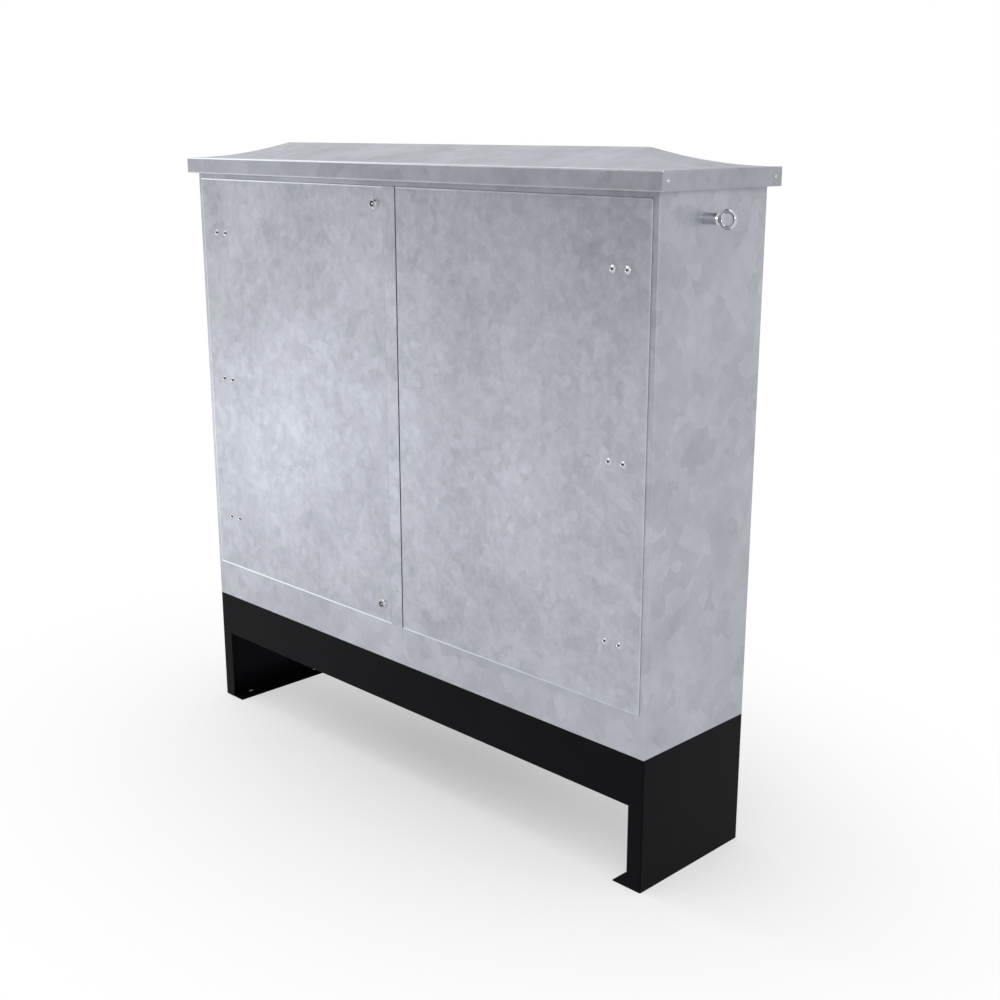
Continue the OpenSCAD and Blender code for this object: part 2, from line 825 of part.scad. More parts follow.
// Places of the screws in the ends of the rim, pointing out along +Z of each
module at_corner_screws() {
    for (side = [0, 1])
        mirror([side, 0, 0])
            for (sign = [-1, 1])
                translate([canopy_x, sign * (canopy_y - corner_screw_inset), (rim_z + rim_top_z) / 2])
                    rotate([0, 90, 0])
                        children();
}

module canopy() {
    inner_x = canopy_x - canopy_sheet;
    inner_y = canopy_y - canopy_sheet;
    skin_z = rim_top_z - canopy_sheet;
    tab_l = 2 * corner_screw_inset;
    color(zinc)
        difference() {
            union() {
                roof_skin();
                difference() {
                    block([-canopy_x, -canopy_y, rim_z], [canopy_x, canopy_y, rim_top_z]);
                    block([-inner_x, -inner_y, rim_z + canopy_sheet], [inner_x, inner_y, rim_top_z + 1]);
                    block([-inner_x + rim_lip, -inner_y + rim_lip, rim_z - 1],
                          [inner_x - rim_lip, inner_y - rim_lip, rim_top_z]);
                }
                for (side = [0, 1])
                    mirror([side, 0, 0])
                        for (sign = [0, 1])
                            mirror([0, sign, 0])
                                block([inner_x - canopy_sheet, inner_y - tab_l, rim_z + rim_lip],
                                      [inner_x, inner_y, skin_z - 2]);
            }
            at_corner_screws()
                cylinder(d = corner_screw_d + hole_clear, h = 8 * canopy_sheet, center = true);
        }
}

module canopy_corner_screws() {
    color(bright_steel)
        at_corner_screws()
            pan_screw(corner_screw_d, 2 * canopy_sheet + 4);
}

bearer_foot_w = 30;
bearer_wall_gap = 5;
bearer_xs = [for (i = [-1:1]) i * (canopy_x - hip_l - bearer_inset)];

// Places of the bolts of the bearers, at the front for -1 and at the back for 1
module at_bearer_bolts(sign) {
    bolt_y = half_d - top_flange / 2 - flange_gap;
    for (x = bearer_xs)
        translate([x + (bearer_sheet + bearer_foot_w) / 2, sign * bolt_y, wall_top_z])
            children();
}

// One cross bearer: a gable plate that follows the roof, with a foot at each end
module canopy_bearer() {
    reach = half_d - bearer_wall_gap;
    slope_z = roof_z(0, reach) - canopy_sheet - touch_gap;
    peak_z = ridge_z - canopy_sheet - touch_gap;
    rotate([90, 0, 90])
        translate([0, 0, -bearer_sheet / 2])
            linear_extrude(height = bearer_sheet)
                polygon([[-reach, wall_top_z], [reach, wall_top_z],
                         [reach, slope_z], [0, peak_z], [-reach, slope_z]]);
    for (sign = [0, 1])
        mirror([0, sign, 0])
            block([-bearer_sheet / 2, half_d - top_flange, wall_top_z],
                  [bearer_sheet / 2 + bearer_foot_w, reach, wall_top_z + bearer_sheet]);
}

module canopy_bearers() {
    color(zinc)
        difference() {
            for (x = bearer_xs)
                translate([x, 0, 0])
                    canopy_bearer();
            for (sign = [-1, 1])
                at_bearer_bolts(sign)
                    cylinder(d = bearer_bolt_d + hole_clear, h = 20, center = true);
        }
}

module canopy_bearer_bolts() {
    color(bright_steel)
        for (sign = [-1, 1])
            at_bearer_bolts(sign) {
                translate([0, 0, -body_sheet - bolt_head_h(bearer_bolt_d)])
                    hexagon(nut_flats(bearer_bolt_d), bolt_head_h(bearer_bolt_d));
                translate([0, 0, -body_sheet - 1])
                    cylinder(d = bearer_bolt_d, h = body_sheet + bearer_sheet + 3);
            }
}

// Seals

// A closed rubber ring round an opening, between its step and the door
module seal_ring(x0, x1, left_w, right_w) {
    low_z = sill_z + (rail_rebate - seal_w) / 2;
    high_z = head_z - (rail_rebate - seal_w) / 2;
    color(rubber)
        difference() {
            block([x0, seal_y, low_z], [x1, rebate_y, high_z]);
            block([x0 + left_w, seal_y - 1, low_z + seal_w], [x1 - right_w, rebate_y + 1, high_z - seal_w]);
        }
}

seal_edge_x = strip_x - (rebate_w - seal_w) / 2;
seal_split = 0.5;
post_seal_w = post_w / 2 - 3.5;

module seal_left() {
    seal_ring(-seal_edge_x, meet_x - seal_split, seal_w, post_seal_w);
}

module seal_right() {
    seal_ring(meet_x - seal_split, seal_edge_x, post_seal_w, seal_w);
}

// Equipment

// Places of the screws on the front of the board
module at_board_screws() {
    for (z = board_rail_zs)
        for (i = [-1, -1 / 3, 1 / 3, 1])
            translate([i * (board_x - board_screw_inset), board_y, z])
                children();
}

module backboard() {
    color(plywood)
        difference() {
            block([-board_x, board_y, board_z0], [board_x, board_y + board_t, board_z1]);
            at_board_screws()
                rotate([90, 0, 0])
                    cylinder(d = board_screw_d + hole_clear, h = 4 * board_t, center = true);
            at_insulators()
                rotate([90, 0, 0])
                    cylinder(d = bar_bolt_d + hole_clear, h = 4 * board_t, center = true);
        }
}

// A folded channel along +X with its web in front and its flanges behind
module rail(l) {
    rotate([90, 0, 90])
        linear_extrude(height = l)
            mirror([1, 0])
                rotate(90)
                    channel_profile(channel_h, channel_d, channel_sheet);
}

module backboard_rails() {
    color(zinc)
        difference() {
            for (z = board_rail_zs)
                translate([-board_x - rail_over, board_y + board_t, z - channel_h / 2])
                    rail(2 * (board_x + rail_over));
            at_board_screws()
                rotate([90, 0, 0])
                    cylinder(d = board_screw_d + hole_clear, h = 4 * board_t, center = true);
        }
}

module backboard_screws() {
    color(bright_steel)
        at_board_screws()
            rotate([90, 0, 0])
                pan_screw(board_screw_d, board_t + board_screw_over);
}

module cable_clamp_rail() {
    slot_pitch = 2 * wall_x / (clamp_slot_count + 1);
    slot_l = 30;
    slot_d = 11;
    color(zinc)
        difference() {
            translate([-wall_x, clamp_rail_y, clamp_rail_z])
                rail(2 * wall_x);
            for (i = [1:clamp_slot_count])
                translate([-wall_x + i * slot_pitch, clamp_rail_y, clamp_rail_z + channel_h / 2])
                    rotate([90, 0, 0]) {
                        cube([slot_l - slot_d, slot_d, 6 * channel_sheet + 2 * channel_d], center = true);
                        for (sign = [-1, 1])
                            translate([sign * (slot_l - slot_d) / 2, 0, 0])
                                cylinder(d = slot_d, h = 6 * channel_sheet + 2 * channel_d, center = true);
                    }
        }
}

module earth_stud() {
    washer_h = 2.5;
    below = washer_h + nut_h(earth_d);
    clamp_gap = 8;
    rise = 50;
    color(brass)
        translate([earth_x, -earth_front, 0]) {
            translate([0, 0, base_z - below - 4])
                cylinder(d = earth_d, h = below + base_sheet + rise);
            for (z = [base_z - washer_h, floor_z])
                translate([0, 0, z])
                    difference() {
                        cylinder(d = earth_d * 2, h = washer_h);
                        translate([0, 0, -1])
                            cylinder(d = earth_d + 2 * nut_clear, h = washer_h + 2);
                    }
            for (z = [base_z - below, floor_z + washer_h, floor_z + washer_h + nut_h(earth_d) + clamp_gap])
                translate([0, 0, z])
                    nut(earth_d);
        }
}

// Switchgear

// Places of the insulators along a bar, on the front of the backboard
module at_bar_insulators(z) {
    for (i = [-1:1])
        translate([i * post_insulator_x, board_y, z])
            children();
}

module at_insulators() {
    for (z = concat(phase_zs, [neutral_z, earth_bar_z]))
        at_bar_insulators(z)
            children();
}

// A ribbed post insulator along +Z, open at both ends for its bolts
module post_insulator() {
    rib_count = 3;
    rib_h = post_insulator_h / (2 * rib_count + 1);
    rib_depth = 4;
    core_r = post_insulator_d / 2 - rib_depth;
    rotate_extrude()
        difference() {
            union() {
                square([core_r, post_insulator_h]);
                for (i = [0:rib_count - 1])
                    translate([0, (2 * i + 1) * rib_h])
                        corner_rect([0, 0], [core_r + rib_depth, rib_h], [0, rib_h / 3, rib_h / 3, 0]);
            }
            translate([-1, -1])
                square([1 + bar_bolt_d / 2 + nut_clear, post_insulator_h + 2]);
        }
}

module bar_insulators() {
    color(moulded_brown)
        at_insulators()
            rotate([90, 0, 0])
                post_insulator();
}

// A copper bar with rounded ends, drilled for its insulators
module copper_bar(z, h) {
    end_r = 3;
    difference() {
        translate([0, bar_back_y, z])
            rotate([90, 0, 0])
                linear_extrude(height = bar_t)
                    corner_rect([-bar_l / 2, -h / 2], [bar_l / 2, h / 2], [end_r, end_r, end_r, end_r]);
        at_bar_insulators(z)
            rotate([90, 0, 0])
                cylinder(d = bar_bolt_d + hole_clear, h = 100, center = true);
    }
}

module phase_bars() {
    color(copper)
        for (z = phase_zs)
            copper_bar(z, phase_bar_h);
}

// A bar for cable lugs, with a row of holes between its insulators
module lug_bar(z) {
    hole_d = 9;
    hole_count = 10;
    hole_pitch = post_insulator_x / (hole_count + 1);
    difference() {
        copper_bar(z, small_bar_h);
        for (side = [0, 1])
            mirror([side, 0, 0])
                for (i = [1:hole_count])
                    translate([i * hole_pitch, bar_back_y, z])
                        rotate([90, 0, 0])
                            cylinder(d = hole_d, h = 3 * bar_t, center = true);
    }
}

module neutral_bar() {
    color(copper)
        lug_bar(neutral_z);
}

module earth_bar() {
    color(copper)
        lug_bar(earth_bar_z);
}

// Places of the fuse rails, at the height of the middle phase bar
module at_fuse_rails() {
    for (i = [0:fuse_rail_count - 1])
        translate([(i - (fuse_rail_count - 1) / 2) * fuse_rail_pitch, 0, phase_mid_z])
            children();
}

// Places of a fuse rail's three cable terminals, on the front of its base
module at_terminals() {
    for (i = [-1:1])
        translate([i * terminal_pitch, fuse_base_y, fuse_rail_low + terminal_h / 2])
            children();
}

module bar_bolt() {
    hexagon(nut_flats(bar_bolt_d), bolt_head_h(bar_bolt_d));
    translate([0, 0, -bar_bolt_l])
        cylinder(d = bar_bolt_d, h = bar_bolt_l + 1);
}

// Bolts through the bars from the front, through the backboard from behind, and in the cable terminals
module switchgear_bolts() {
    color(bright_steel) {
        at_insulators() {
            translate([0, bar_front_y - board_y, 0])
                rotate([90, 0, 0])
                    bar_bolt();
            translate([0, board_t, 0])
                rotate([-90, 0, 0])
                    bar_bolt();
        }
        at_fuse_rails()
            at_terminals()
                rotate([90, 0, 0])
                    bar_bolt();
    }
}

// A moulded fuse rail: base, hooks over the bars, slotted contact housings, and ribs between the terminals
module fuse_rail() {
    housing_w = 40;
    housing_gap = 3;
    housing_h = fuse_blade_l - 4;
    housing_y = link_y - fuse_blade_w / 2;
    slot_w = fuse_blade_t + 2 * touch_gap;
    edge_r = 4;
    rib_t = 3;
    difference() {
        union() {
            translate([0, 0, fuse_rail_low])
                linear_extrude(height = fuse_rail_top - fuse_rail_low)
                    corner_rect([-fuse_rail_w / 2, fuse_base_y], [fuse_rail_w / 2, bar_front_y],
                                [edge_r, edge_r, 0, 0]);
            for (i = [-1:1])
                translate([0, 0, i * phase_pitch]) {
                    fuse_rail_hook();
                    for (turn = [0, 1])
                        mirror([0, 0, turn])
                            translate([0, 0, fuse_link_h / 2 + housing_gap])
                                block([-housing_w / 2, housing_y, 0],
                                      [housing_w / 2, fuse_base_y + 1, housing_h]);
                }
            for (sign = [-1, 1])
                translate([sign * terminal_pitch / 2, 0, fuse_rail_low])
                    block([-rib_t / 2, housing_y, edge_r], [rib_t / 2, fuse_base_y + 1, terminal_h]);
        }
        block([-slot_w / 2, housing_y - 1, -fuse_rail_top],
              [slot_w / 2, link_y + fuse_blade_w / 2 + touch_gap, fuse_rail_top]);
        at_terminals()
            rotate([90, 0, 0])
                cylinder(d = bar_bolt_d + hole_clear, h = 3 * fuse_rail_d, center = true);
    }
}

// The hook that hangs a fuse rail on the upper edge of a phase bar
module fuse_rail_hook() {
    hook_w = 30;
    hook_t = 4;
    hook_drop = 8;
    low = phase_bar_h / 2 + touch_gap;
    tip_y = bar_back_y + touch_gap;
    block([-hook_w / 2, bar_front_y - 1, low], [hook_w / 2, tip_y + hook_t, low + hook_t]);
    block([-hook_w / 2, tip_y, low - hook_drop], [hook_w / 2, tip_y + hook_t, low + hook_t]);
}

module fuse_rails() {
    color(moulded_black)
        at_fuse_rails()
            fuse_rail();
}

// A fuse link: ceramic body between two end plates, with a blade above and below
module fuse_link() {
    plate_t = 2;
    edge_r = 5;
    half = fuse_link_w / 2;
    translate([0, link_y, 0]) {
        translate([0, 0, -fuse_link_h / 2 + plate_t])
            linear_extrude(height = fuse_link_h - 2 * plate_t)
                corner_rect([-half, -half], [half, half], [edge_r, edge_r, edge_r, edge_r]);
        block([-half + edge_r, -half + edge_r, -fuse_link_h / 2],
              [half - edge_r, half - edge_r, fuse_link_h / 2]);
        block([-fuse_blade_t / 2, -fuse_blade_w / 2, -fuse_link_h / 2 - fuse_blade_l],
              [fuse_blade_t / 2, fuse_blade_w / 2, fuse_link_h / 2 + fuse_blade_l]);
    }
}

module fuse_links() {
    color(ceramic)
        at_fuse_rails()
            for (i = [-1:1])
                translate([0, 0, i * phase_pitch])
                    fuse_link();
}

// Lifting eyes

eye_plate_w = 70;
eye_plate_t = 5;

// Places a shape on the right-hand eye's axis, with +Z pointing out of the wall
module at_eye() {
    translate([half_w, -eye_front, rim_z - eye_drop])
        rotate([0, 90, 0])
            children();
}

module lifting_eye() {
    inside = body_sheet + eye_plate_t + eye_thread_d * 0.9;
    ring_z = eye_barrel_l + eye_ring_r + eye_bar_d / 2 - 2;
    shoulder = 4;
    color(chrome)
        at_eye() {
            translate([0, 0, -inside])
                cylinder(d = eye_thread_d, h = inside + 1);
            cylinder(d = eye_barrel_d, h = eye_barrel_l - shoulder);
            translate([0, 0, eye_barrel_l - shoulder])
                cylinder(d1 = eye_barrel_d, d2 = eye_barrel_d - 2 * shoulder, h = shoulder);
            translate([0, 0, ring_z])
                rotate([90, 0, 0])
                    rotate_extrude()
                        translate([eye_ring_r, 0])
                            circle(d = eye_bar_d);
        }
}

module lifting_eye_nuts() {
    color(bright_steel)
        for (side = [0, 1])
            mirror([side, 0, 0])
                at_eye() {
                    translate([0, 0, -body_sheet - eye_plate_t])
                        difference() {
                            translate([-eye_plate_w / 2, -eye_plate_w / 2, 0])
                                cube([eye_plate_w, eye_plate_w, eye_plate_t]);
                            translate([0, 0, -1])
                                cylinder(d = eye_thread_d + 2 * hole_clear, h = eye_plate_t + 2);
                        }
                    translate([0, 0, -body_sheet - eye_plate_t - nut_h(eye_thread_d)])
                        nut(eye_thread_d);
                }
}

// Hinges

module at_hinges() {
    for (z = hinge_zs)
        translate([0, 0, z])
            children();
}

lug_front = knuckle_r + 1;

module hinge_lugs() {
    low = arm_h / 2 + lug_clear;
    color(zinc)
        at_hinges()
            for (z = [low, -low - lug_h])
                translate([0, 0, z])
                    difference() {
                        union() {
                            block([pivot_x, pivot_y - lug_front, 0], [wall_x, pivot_y + lug_front, lug_h]);
                            translate([pivot_x, pivot_y, 0])
                                cylinder(r = lug_front, h = lug_h);
                        }
                        translate([pivot_x, pivot_y, -1])
                            cylinder(d = pin_d + 2 * pin_clear, h = lug_h + 2);
                    }
}

module hinge_pins() {
    half_l = arm_h / 2 + lug_clear + lug_h;
    head_h = 2.5;
    color(bright_steel)
        at_hinges()
            translate([pivot_x, pivot_y, 0]) {
                translate([0, 0, -half_l - 1])
                    cylinder(d = pin_d, h = 2 * half_l + 1.5);
                translate([0, 0, half_l])
                    dome(pin_d + 3, head_h);
                translate([0, 0, -half_l - head_h])
                    cylinder(d = pin_d + 3, h = head_h);
            }
}

// Profile from above of a swan-neck arm: leaf on the door, neck round the frame's step, knuckle on the pin
module arm_profile() {
    r = arm_bend_r + arm_t;
    arm_x = pivot_x + arm_t / 2;
    difference() {
        union() {
            translate([leaf_end_x, skin_y])
                square([neck_x - r - leaf_end_x, arm_t]);
            translate([neck_x - r, skin_y + r])
                quarter_bend(r, arm_t, [1, -1]);
            translate([neck_x - arm_t, skin_y + r])
                square([arm_t, arm_back_y - r - skin_y - r]);
            translate([neck_x - arm_t + r, arm_back_y - r])
                quarter_bend(r, arm_t, [-1, 1]);
            translate([neck_x - arm_t + r, arm_back_y - arm_t])
                square([arm_x - neck_x + arm_t - 2 * r, arm_t]);
            translate([arm_x - r, arm_back_y - r])
                quarter_bend(r, arm_t, [1, 1]);
            translate([arm_x - arm_t, pivot_y])
                square([arm_t, arm_back_y - r - pivot_y]);
            translate([pivot_x, pivot_y])
                circle(r = knuckle_r);
        }
        translate([pivot_x, pivot_y])
            circle(d = pin_d + 2 * pin_clear);
    }
}

// Places of the hinge bolts on the front of the right door, pointing out along +Z of each
module at_hinge_bolts() {
    for (z = hinge_zs)
        for (x = [hinge_bolt_x, hinge_bolt_x - hinge_bolt_pitch])
            translate([x, skin_front_y, z])
                rotate([90, 0, 0])
                    children();
}

module hinge_arms() {
    color(zinc)
        difference() {
            at_hinges()
                translate([0, 0, -arm_h / 2])
                    linear_extrude(height = arm_h)
                        arm_profile();
            at_hinge_bolts()
                cylinder(d = hinge_bolt_d + hole_clear, h = 60, center = true);
        }
}

module hinge_bolts() {
    shank_l = door_sheet + arm_t + hinge_bolt_d * 1.1;
    color(chrome)
        at_hinge_bolts() {
            dome(hinge_head_d, hinge_head_h);
            translate([0, 0, -shank_l])
                cylinder(d = hinge_bolt_d, h = shank_l + 1);
        }
}

module hinge_nuts() {
    color(bright_steel)
        at_hinge_bolts()
            translate([0, 0, -door_sheet - arm_t - nut_h(hinge_bolt_d)])
                nut(hinge_bolt_d);
}

// Doors

// A door's sheet between two edges: front edges rounded above, below and at the outer side
module door_skin(x0, x1) {
    far = 50;
    intersection() {
        translate([0, 0, door_z0])
            linear_extrude(height = door_z1 - door_z0)
                corner_rect([x0, skin_front_y], [x1, skin_y], [0, door_edge_r, 0, 0]);
        translate([x0, 0, 0])
            rotate([90, 0, 90])
                linear_extrude(height = x1 - x0)
                    corner_rect([skin_front_y, door_z0], [skin_y, door_z1], [door_edge_r, 0, 0, door_edge_r]);
        translate([0, skin_y + far, 0])
            rotate([90, 0, 0])
                linear_extrude(height = 2 * far)
                    corner_rect([x0, door_z0], [x1, door_z1], [0, door_corner_r, door_corner_r, 0]);
    }
}

module door_left() {
    color(zinc)
        difference() {
            mirrored()
                door_skin(-strip_start_x, door_x);
            mirrored()
                at_hinge_bolts()
                    cylinder(d = hinge_bolt_d + hole_clear, h = 60, center = true);
            at_locks()
                cylinder(d = lock_barrel_d + hole_clear, h = 60, center = true);
        }
}

// The flat strip along the left door's meeting edge, with a joggled flange welded behind the door
module door_left_meeting_strip() {
    color(zinc) {
        block([strip_start_x, skin_front_y, door_z0], [left_edge_x, skin_y, door_z1]);
        block([strip_start_x - meet_flange_w, skin_y, sill_open_z],
              [strip_start_x, skin_y + door_sheet, head_open_z]);
        block([strip_start_x, skin_y, sill_open_z], [strip_start_x + 4, skin_y + door_sheet, head_open_z]);
    }
}

module door_right() {
    color(zinc)
        difference() {
            door_skin(right_edge_x, door_x);
            at_hinge_bolts()
                cylinder(d = hinge_bolt_d + hole_clear, h = 60, center = true);
        }
}

// Profile of a stiffener: a top hat that opens onto the door
module hat_profile() {
    crown_w = hat_w - 2 * hat_flange;
    for (x = [-hat_w / 2, hat_w / 2 - hat_flange])
        translate([x, 0])
            square([hat_flange, hat_sheet]);
    translate([-crown_w / 2, hat_d])
        mirror([0, 1])
            channel_profile(crown_w, hat_d, hat_sheet);
}

module door_stiffeners() {
    end_gap = 18;
    weld_gap = 0.5;
    outer_x = door_x - hat_outer_inset;
    color(zinc) {
        for (x = [hat_inner_x, outer_x])
            translate([x, skin_y, sill_open_z + end_gap])
                linear_extrude(height = head_open_z - sill_open_z - 2 * end_gap)
                    hat_profile();
        for (sign = [-1, 1])
            translate([hat_inner_x + hat_w / 2 + weld_gap, skin_y, door_mid_z + sign * hinge_pitch / 2])
                rotate([90, 0, 90])
                    linear_extrude(height = outer_x - hat_inner_x - hat_w - 2 * weld_gap)
                        rotate(-90)
                            hat_profile();
    }
}

// Locks

// Places of the two locks on the left door, pointing out along +Z of each
module at_locks() {
    for (z = [lock_top_z, lock_bottom_z])
        at_lock(z)
            children();
}

module at_lock(z) {
    translate([-lock_x, skin_front_y, z])
        rotate([90, 0, 0])
            children();
}

lock_depth = catch_y - skin_front_y - 1;
lock_nut_h = 5;
key_pocket_d = 17;
key_pocket_depth = 6;
lock_flange_h = 2.5;

// Section of a lock housing: a rounded flange and nose in front of the door, a barrel behind it
module lock_section() {
    nose_wall = 3;
    nose_edge_r = 1;
    flange_edge_r = 2;
    nose_r = key_pocket_d / 2 + nose_wall;
    flange_r = lock_flange_d / 2;
    slope_z = lock_proud - nose_wall;
    bore_r = spindle_d / 2 + spindle_clear;
    difference() {
        union() {
            corner_rect([0, 0], [flange_r, lock_flange_h], [0, 0, flange_edge_r, 0]);
            corner_rect([0, 0], [nose_r, lock_proud], [0, 0, nose_edge_r, 0]);
            polygon([[0, lock_flange_h - 0.5], [flange_r - flange_edge_r - 0.5, lock_flange_h - 0.5],
                     [nose_r, slope_z], [0, slope_z]]);
            translate([0, -lock_depth])
                square([lock_barrel_d / 2, lock_depth + 0.5]);
        }
        translate([-1, -lock_depth - 1])
            square([1 + bore_r, lock_depth + lock_proud + 2]);
        translate([-1, lock_proud - key_pocket_depth])
            square([1 + key_pocket_d / 2, key_pocket_depth + 1]);
    }
}

module lock_housings() {
    color(chrome)
        at_locks()
            rotate_extrude()
                lock_section();
}

module lock_nuts() {
    flats = lock_barrel_d + 8;
    color(bright_steel)
        at_locks()
            translate([0, 0, -door_sheet - lock_nut_h])
                difference() {
                    hexagon(flats, lock_nut_h);
                    translate([0, 0, -1])
                        cylinder(d = lock_barrel_d + 2 * nut_clear, h = lock_nut_h + 2);
                }
}

// A lock's turning piece: triangular key end in front, spindle, and the cam behind, towards direction
module lock_cam() {
    key_d = 11;
    key_inset = 1.5;
    cam_nut_flats = 10;
    cam_nut_h = 4;
    face_h = lock_proud - key_pocket_depth;
    cam_z = -lock_depth - 0.3;
    color(chrome) {
        translate([0, 0, face_h])
            cylinder(d = key_d, h = key_pocket_depth - key_inset, $fn = 3);
        translate([0, 0, cam_z - cam_t])
            cylinder(d = spindle_d, h = face_h - cam_z + cam_t);
        translate([0, 0, cam_z - cam_t]) {
            linear_extrude(height = cam_t) {
                translate([-cam_l + cam_w / 2, 0])
                    circle(d = cam_w);
                translate([-cam_l + cam_w / 2, -cam_w / 2])
                    square([cam_l - cam_w / 2, cam_w]);
                circle(d = cam_w);
            }
            translate([0, 0, -cam_nut_h])
                hexagon(cam_nut_flats, cam_nut_h);
        }
    }
}

module lock_cam_top() {
    at_lock(lock_top_z)
        lock_cam();
}

module lock_cam_bottom() {
    at_lock(lock_bottom_z)
        lock_cam();
}

// Shoot bolts

// Turns a shape made for the top of the right door into the one for the bottom
module at_door_bottom() {
    translate([0, 0, door_mid_z])
        mirror([0, 0, 1])
            translate([0, 0, -door_mid_z])
                children();
}

module shoot_bolt_guide() {
    top_z = shoot_end_z - guide_lug_drop + guide_lug_h;
    low_z = top_z - guide_lug_pitch - 2 * guide_lug_h;
    lug_y = shoot_y + shoot_d / 2 + 4;
    difference() {
        union() {
            block([shoot_x - guide_w / 2, skin_y, low_z],
                  [shoot_x + guide_w / 2, skin_y + guide_sheet, top_z]);
            for (z = [low_z, top_z - guide_lug_h])
                block([shoot_x - shoot_d / 2 - 4, skin_y + guide_sheet, z],
                      [shoot_x + shoot_d / 2 + 4, lug_y, z + guide_lug_h]);
        }
        translate([shoot_x, shoot_y, low_z - 1])
            cylinder(d = shoot_d + 2 * pin_clear, h = top_z - low_z + 2);
    }
}

module shoot_bolt_guides() {
    color(zinc) {
        shoot_bolt_guide();
        at_door_bottom()
            shoot_bolt_guide();
    }
}

module shoot_bolt() {
    knob_d = 8;
    knob_l = 26;
    tip_h = 3;
    knob_z = shoot_end_z - guide_lug_drop - guide_lug_pitch / 2 - shoot_travel / 2;
    color(bright_steel) {
        translate([shoot_x, shoot_y, shoot_end_z - shoot_l])
            cylinder(d = shoot_d, h = shoot_l - tip_h);
        translate([shoot_x, shoot_y, shoot_end_z - tip_h])
            cylinder(d1 = shoot_d, d2 = shoot_d - 2 * tip_h, h = tip_h);
        translate([shoot_x, shoot_y, knob_z])
            rotate([-90, 0, 0])
                cylinder(d = knob_d, h = knob_l);
    }
}

module shoot_bolt_top() {
    shoot_bolt();
}

module shoot_bolt_bottom() {
    at_door_bottom()
        shoot_bolt();
}

mirrored() root_side();  // root_side_left
root_side();  // root_side_right
root_beam();  // root_front_beam
mirror([0, 1, 0]) root_beam();  // root_rear_beam
root_bolts();
root_nuts();
mirrored() body_side();  // body_side_left
body_side();  // body_side_right
back_panel();
back_panel_screws();
head_rail();
sill_rail();
centre_post();
base_plate();
mirrored() gland_plate();  // gland_plate_left
gland_plate();  // gland_plate_right
gland_plate_screws();
canopy();
canopy_bearers();
canopy_bearer_bolts();
canopy_corner_screws();
seal_left();
seal_right();
backboard();
backboard_rails();
backboard_screws();
bar_insulators();
phase_bars();
neutral_bar();
earth_bar();
switchgear_bolts();
fuse_rails();
fuse_links();
cable_clamp_rail();
earth_stud();
mirrored() lifting_eye();  // lifting_eye_left
lifting_eye();  // lifting_eye_right
lifting_eye_nuts();
mirrored() hinge_lugs();  // hinge_lugs_left
hinge_lugs();  // hinge_lugs_right
mirrored() hinge_pins();  // hinge_pins_left
hinge_pins();  // hinge_pins_right
door_left();
door_left_meeting_strip();
mirrored() door_stiffeners();  // door_left_stiffeners
mirrored() hinge_arms();  // hinge_arms_left
mirrored() hinge_bolts();  // hinge_bolts_left
mirrored() hinge_nuts();  // hinge_nuts_left
lock_housings();
lock_nuts();
lock_cam_top();
lock_cam_bottom();
door_right();
door_stiffeners();  // door_right_stiffeners
hinge_arms();  // hinge_arms_right
hinge_bolts();  // hinge_bolts_right
hinge_nuts();  // hinge_nuts_right
shoot_bolt_guides();
shoot_bolt_top();
shoot_bolt_bottom();
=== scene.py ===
"""Looks of a galvanised two-door feeder pillar on a black root, with a shallow hipped canopy."""
import json
import math

import bmesh
import bpy
from mathutils import Euler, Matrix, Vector


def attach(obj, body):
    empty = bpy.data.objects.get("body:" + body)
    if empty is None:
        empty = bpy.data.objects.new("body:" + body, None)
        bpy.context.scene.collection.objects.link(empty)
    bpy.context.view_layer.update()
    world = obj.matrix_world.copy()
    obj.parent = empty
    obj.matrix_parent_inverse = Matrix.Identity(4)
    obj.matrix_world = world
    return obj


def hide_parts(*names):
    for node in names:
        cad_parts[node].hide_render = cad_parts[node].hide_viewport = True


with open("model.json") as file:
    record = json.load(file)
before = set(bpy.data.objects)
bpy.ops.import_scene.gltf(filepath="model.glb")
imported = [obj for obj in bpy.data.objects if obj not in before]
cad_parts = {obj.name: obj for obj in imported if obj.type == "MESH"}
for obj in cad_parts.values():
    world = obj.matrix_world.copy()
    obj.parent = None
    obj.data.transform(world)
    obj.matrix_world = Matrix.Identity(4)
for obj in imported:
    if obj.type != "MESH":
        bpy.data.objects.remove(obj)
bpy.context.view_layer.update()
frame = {"nodes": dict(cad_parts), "record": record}

NODES = frame["nodes"]
BODY_OF = {node: body for body, nodes in frame["record"]["behaviour"]["bodies"].items() for node in nodes}
MM = 0.001

# A ramp's stops lie between 0 and 1, so the distance from a bend is given to it in centimetres
PER_CM = 100


# Places on the solids, in metres

ACROSS, DEEP, UP = range(3)


def reach_of(node, axis):
    """The lowest and highest place of a piece along one axis."""
    places = [vertex.co[axis] for vertex in NODES[node].data.vertices]
    return min(places), max(places)


DOORS_HALF_WIDTH = reach_of("door_right", ACROSS)[1]
DOORS_LOW, DOORS_HIGH = reach_of("door_right", UP)

# The rim's painted highlight lies along its front only, to a small depth behind its face
RIM_HEIGHT = 50 * MM
HIGHLIGHT_DEPTH = 5 * MM
RIM_LOW = reach_of("canopy", UP)[0]
RIM_HIGH = RIM_LOW + RIM_HEIGHT
RIM_HIGHLIGHT_FROM = reach_of("canopy", DEEP)[0] + HIGHLIGHT_DEPTH

LOCKS_LEFT, LOCKS_RIGHT = reach_of("lock_housings", ACROSS)
LOCKS_ACROSS = (LOCKS_LEFT + LOCKS_RIGHT) / 2
LOCK_RADIUS = (LOCKS_RIGHT - LOCKS_LEFT) / 2
LOCK_BOTTOM_HEIGHT = reach_of("lock_housings", UP)[0] + LOCK_RADIUS
LOCK_TOP_HEIGHT = reach_of("lock_housings", UP)[1] - LOCK_RADIUS

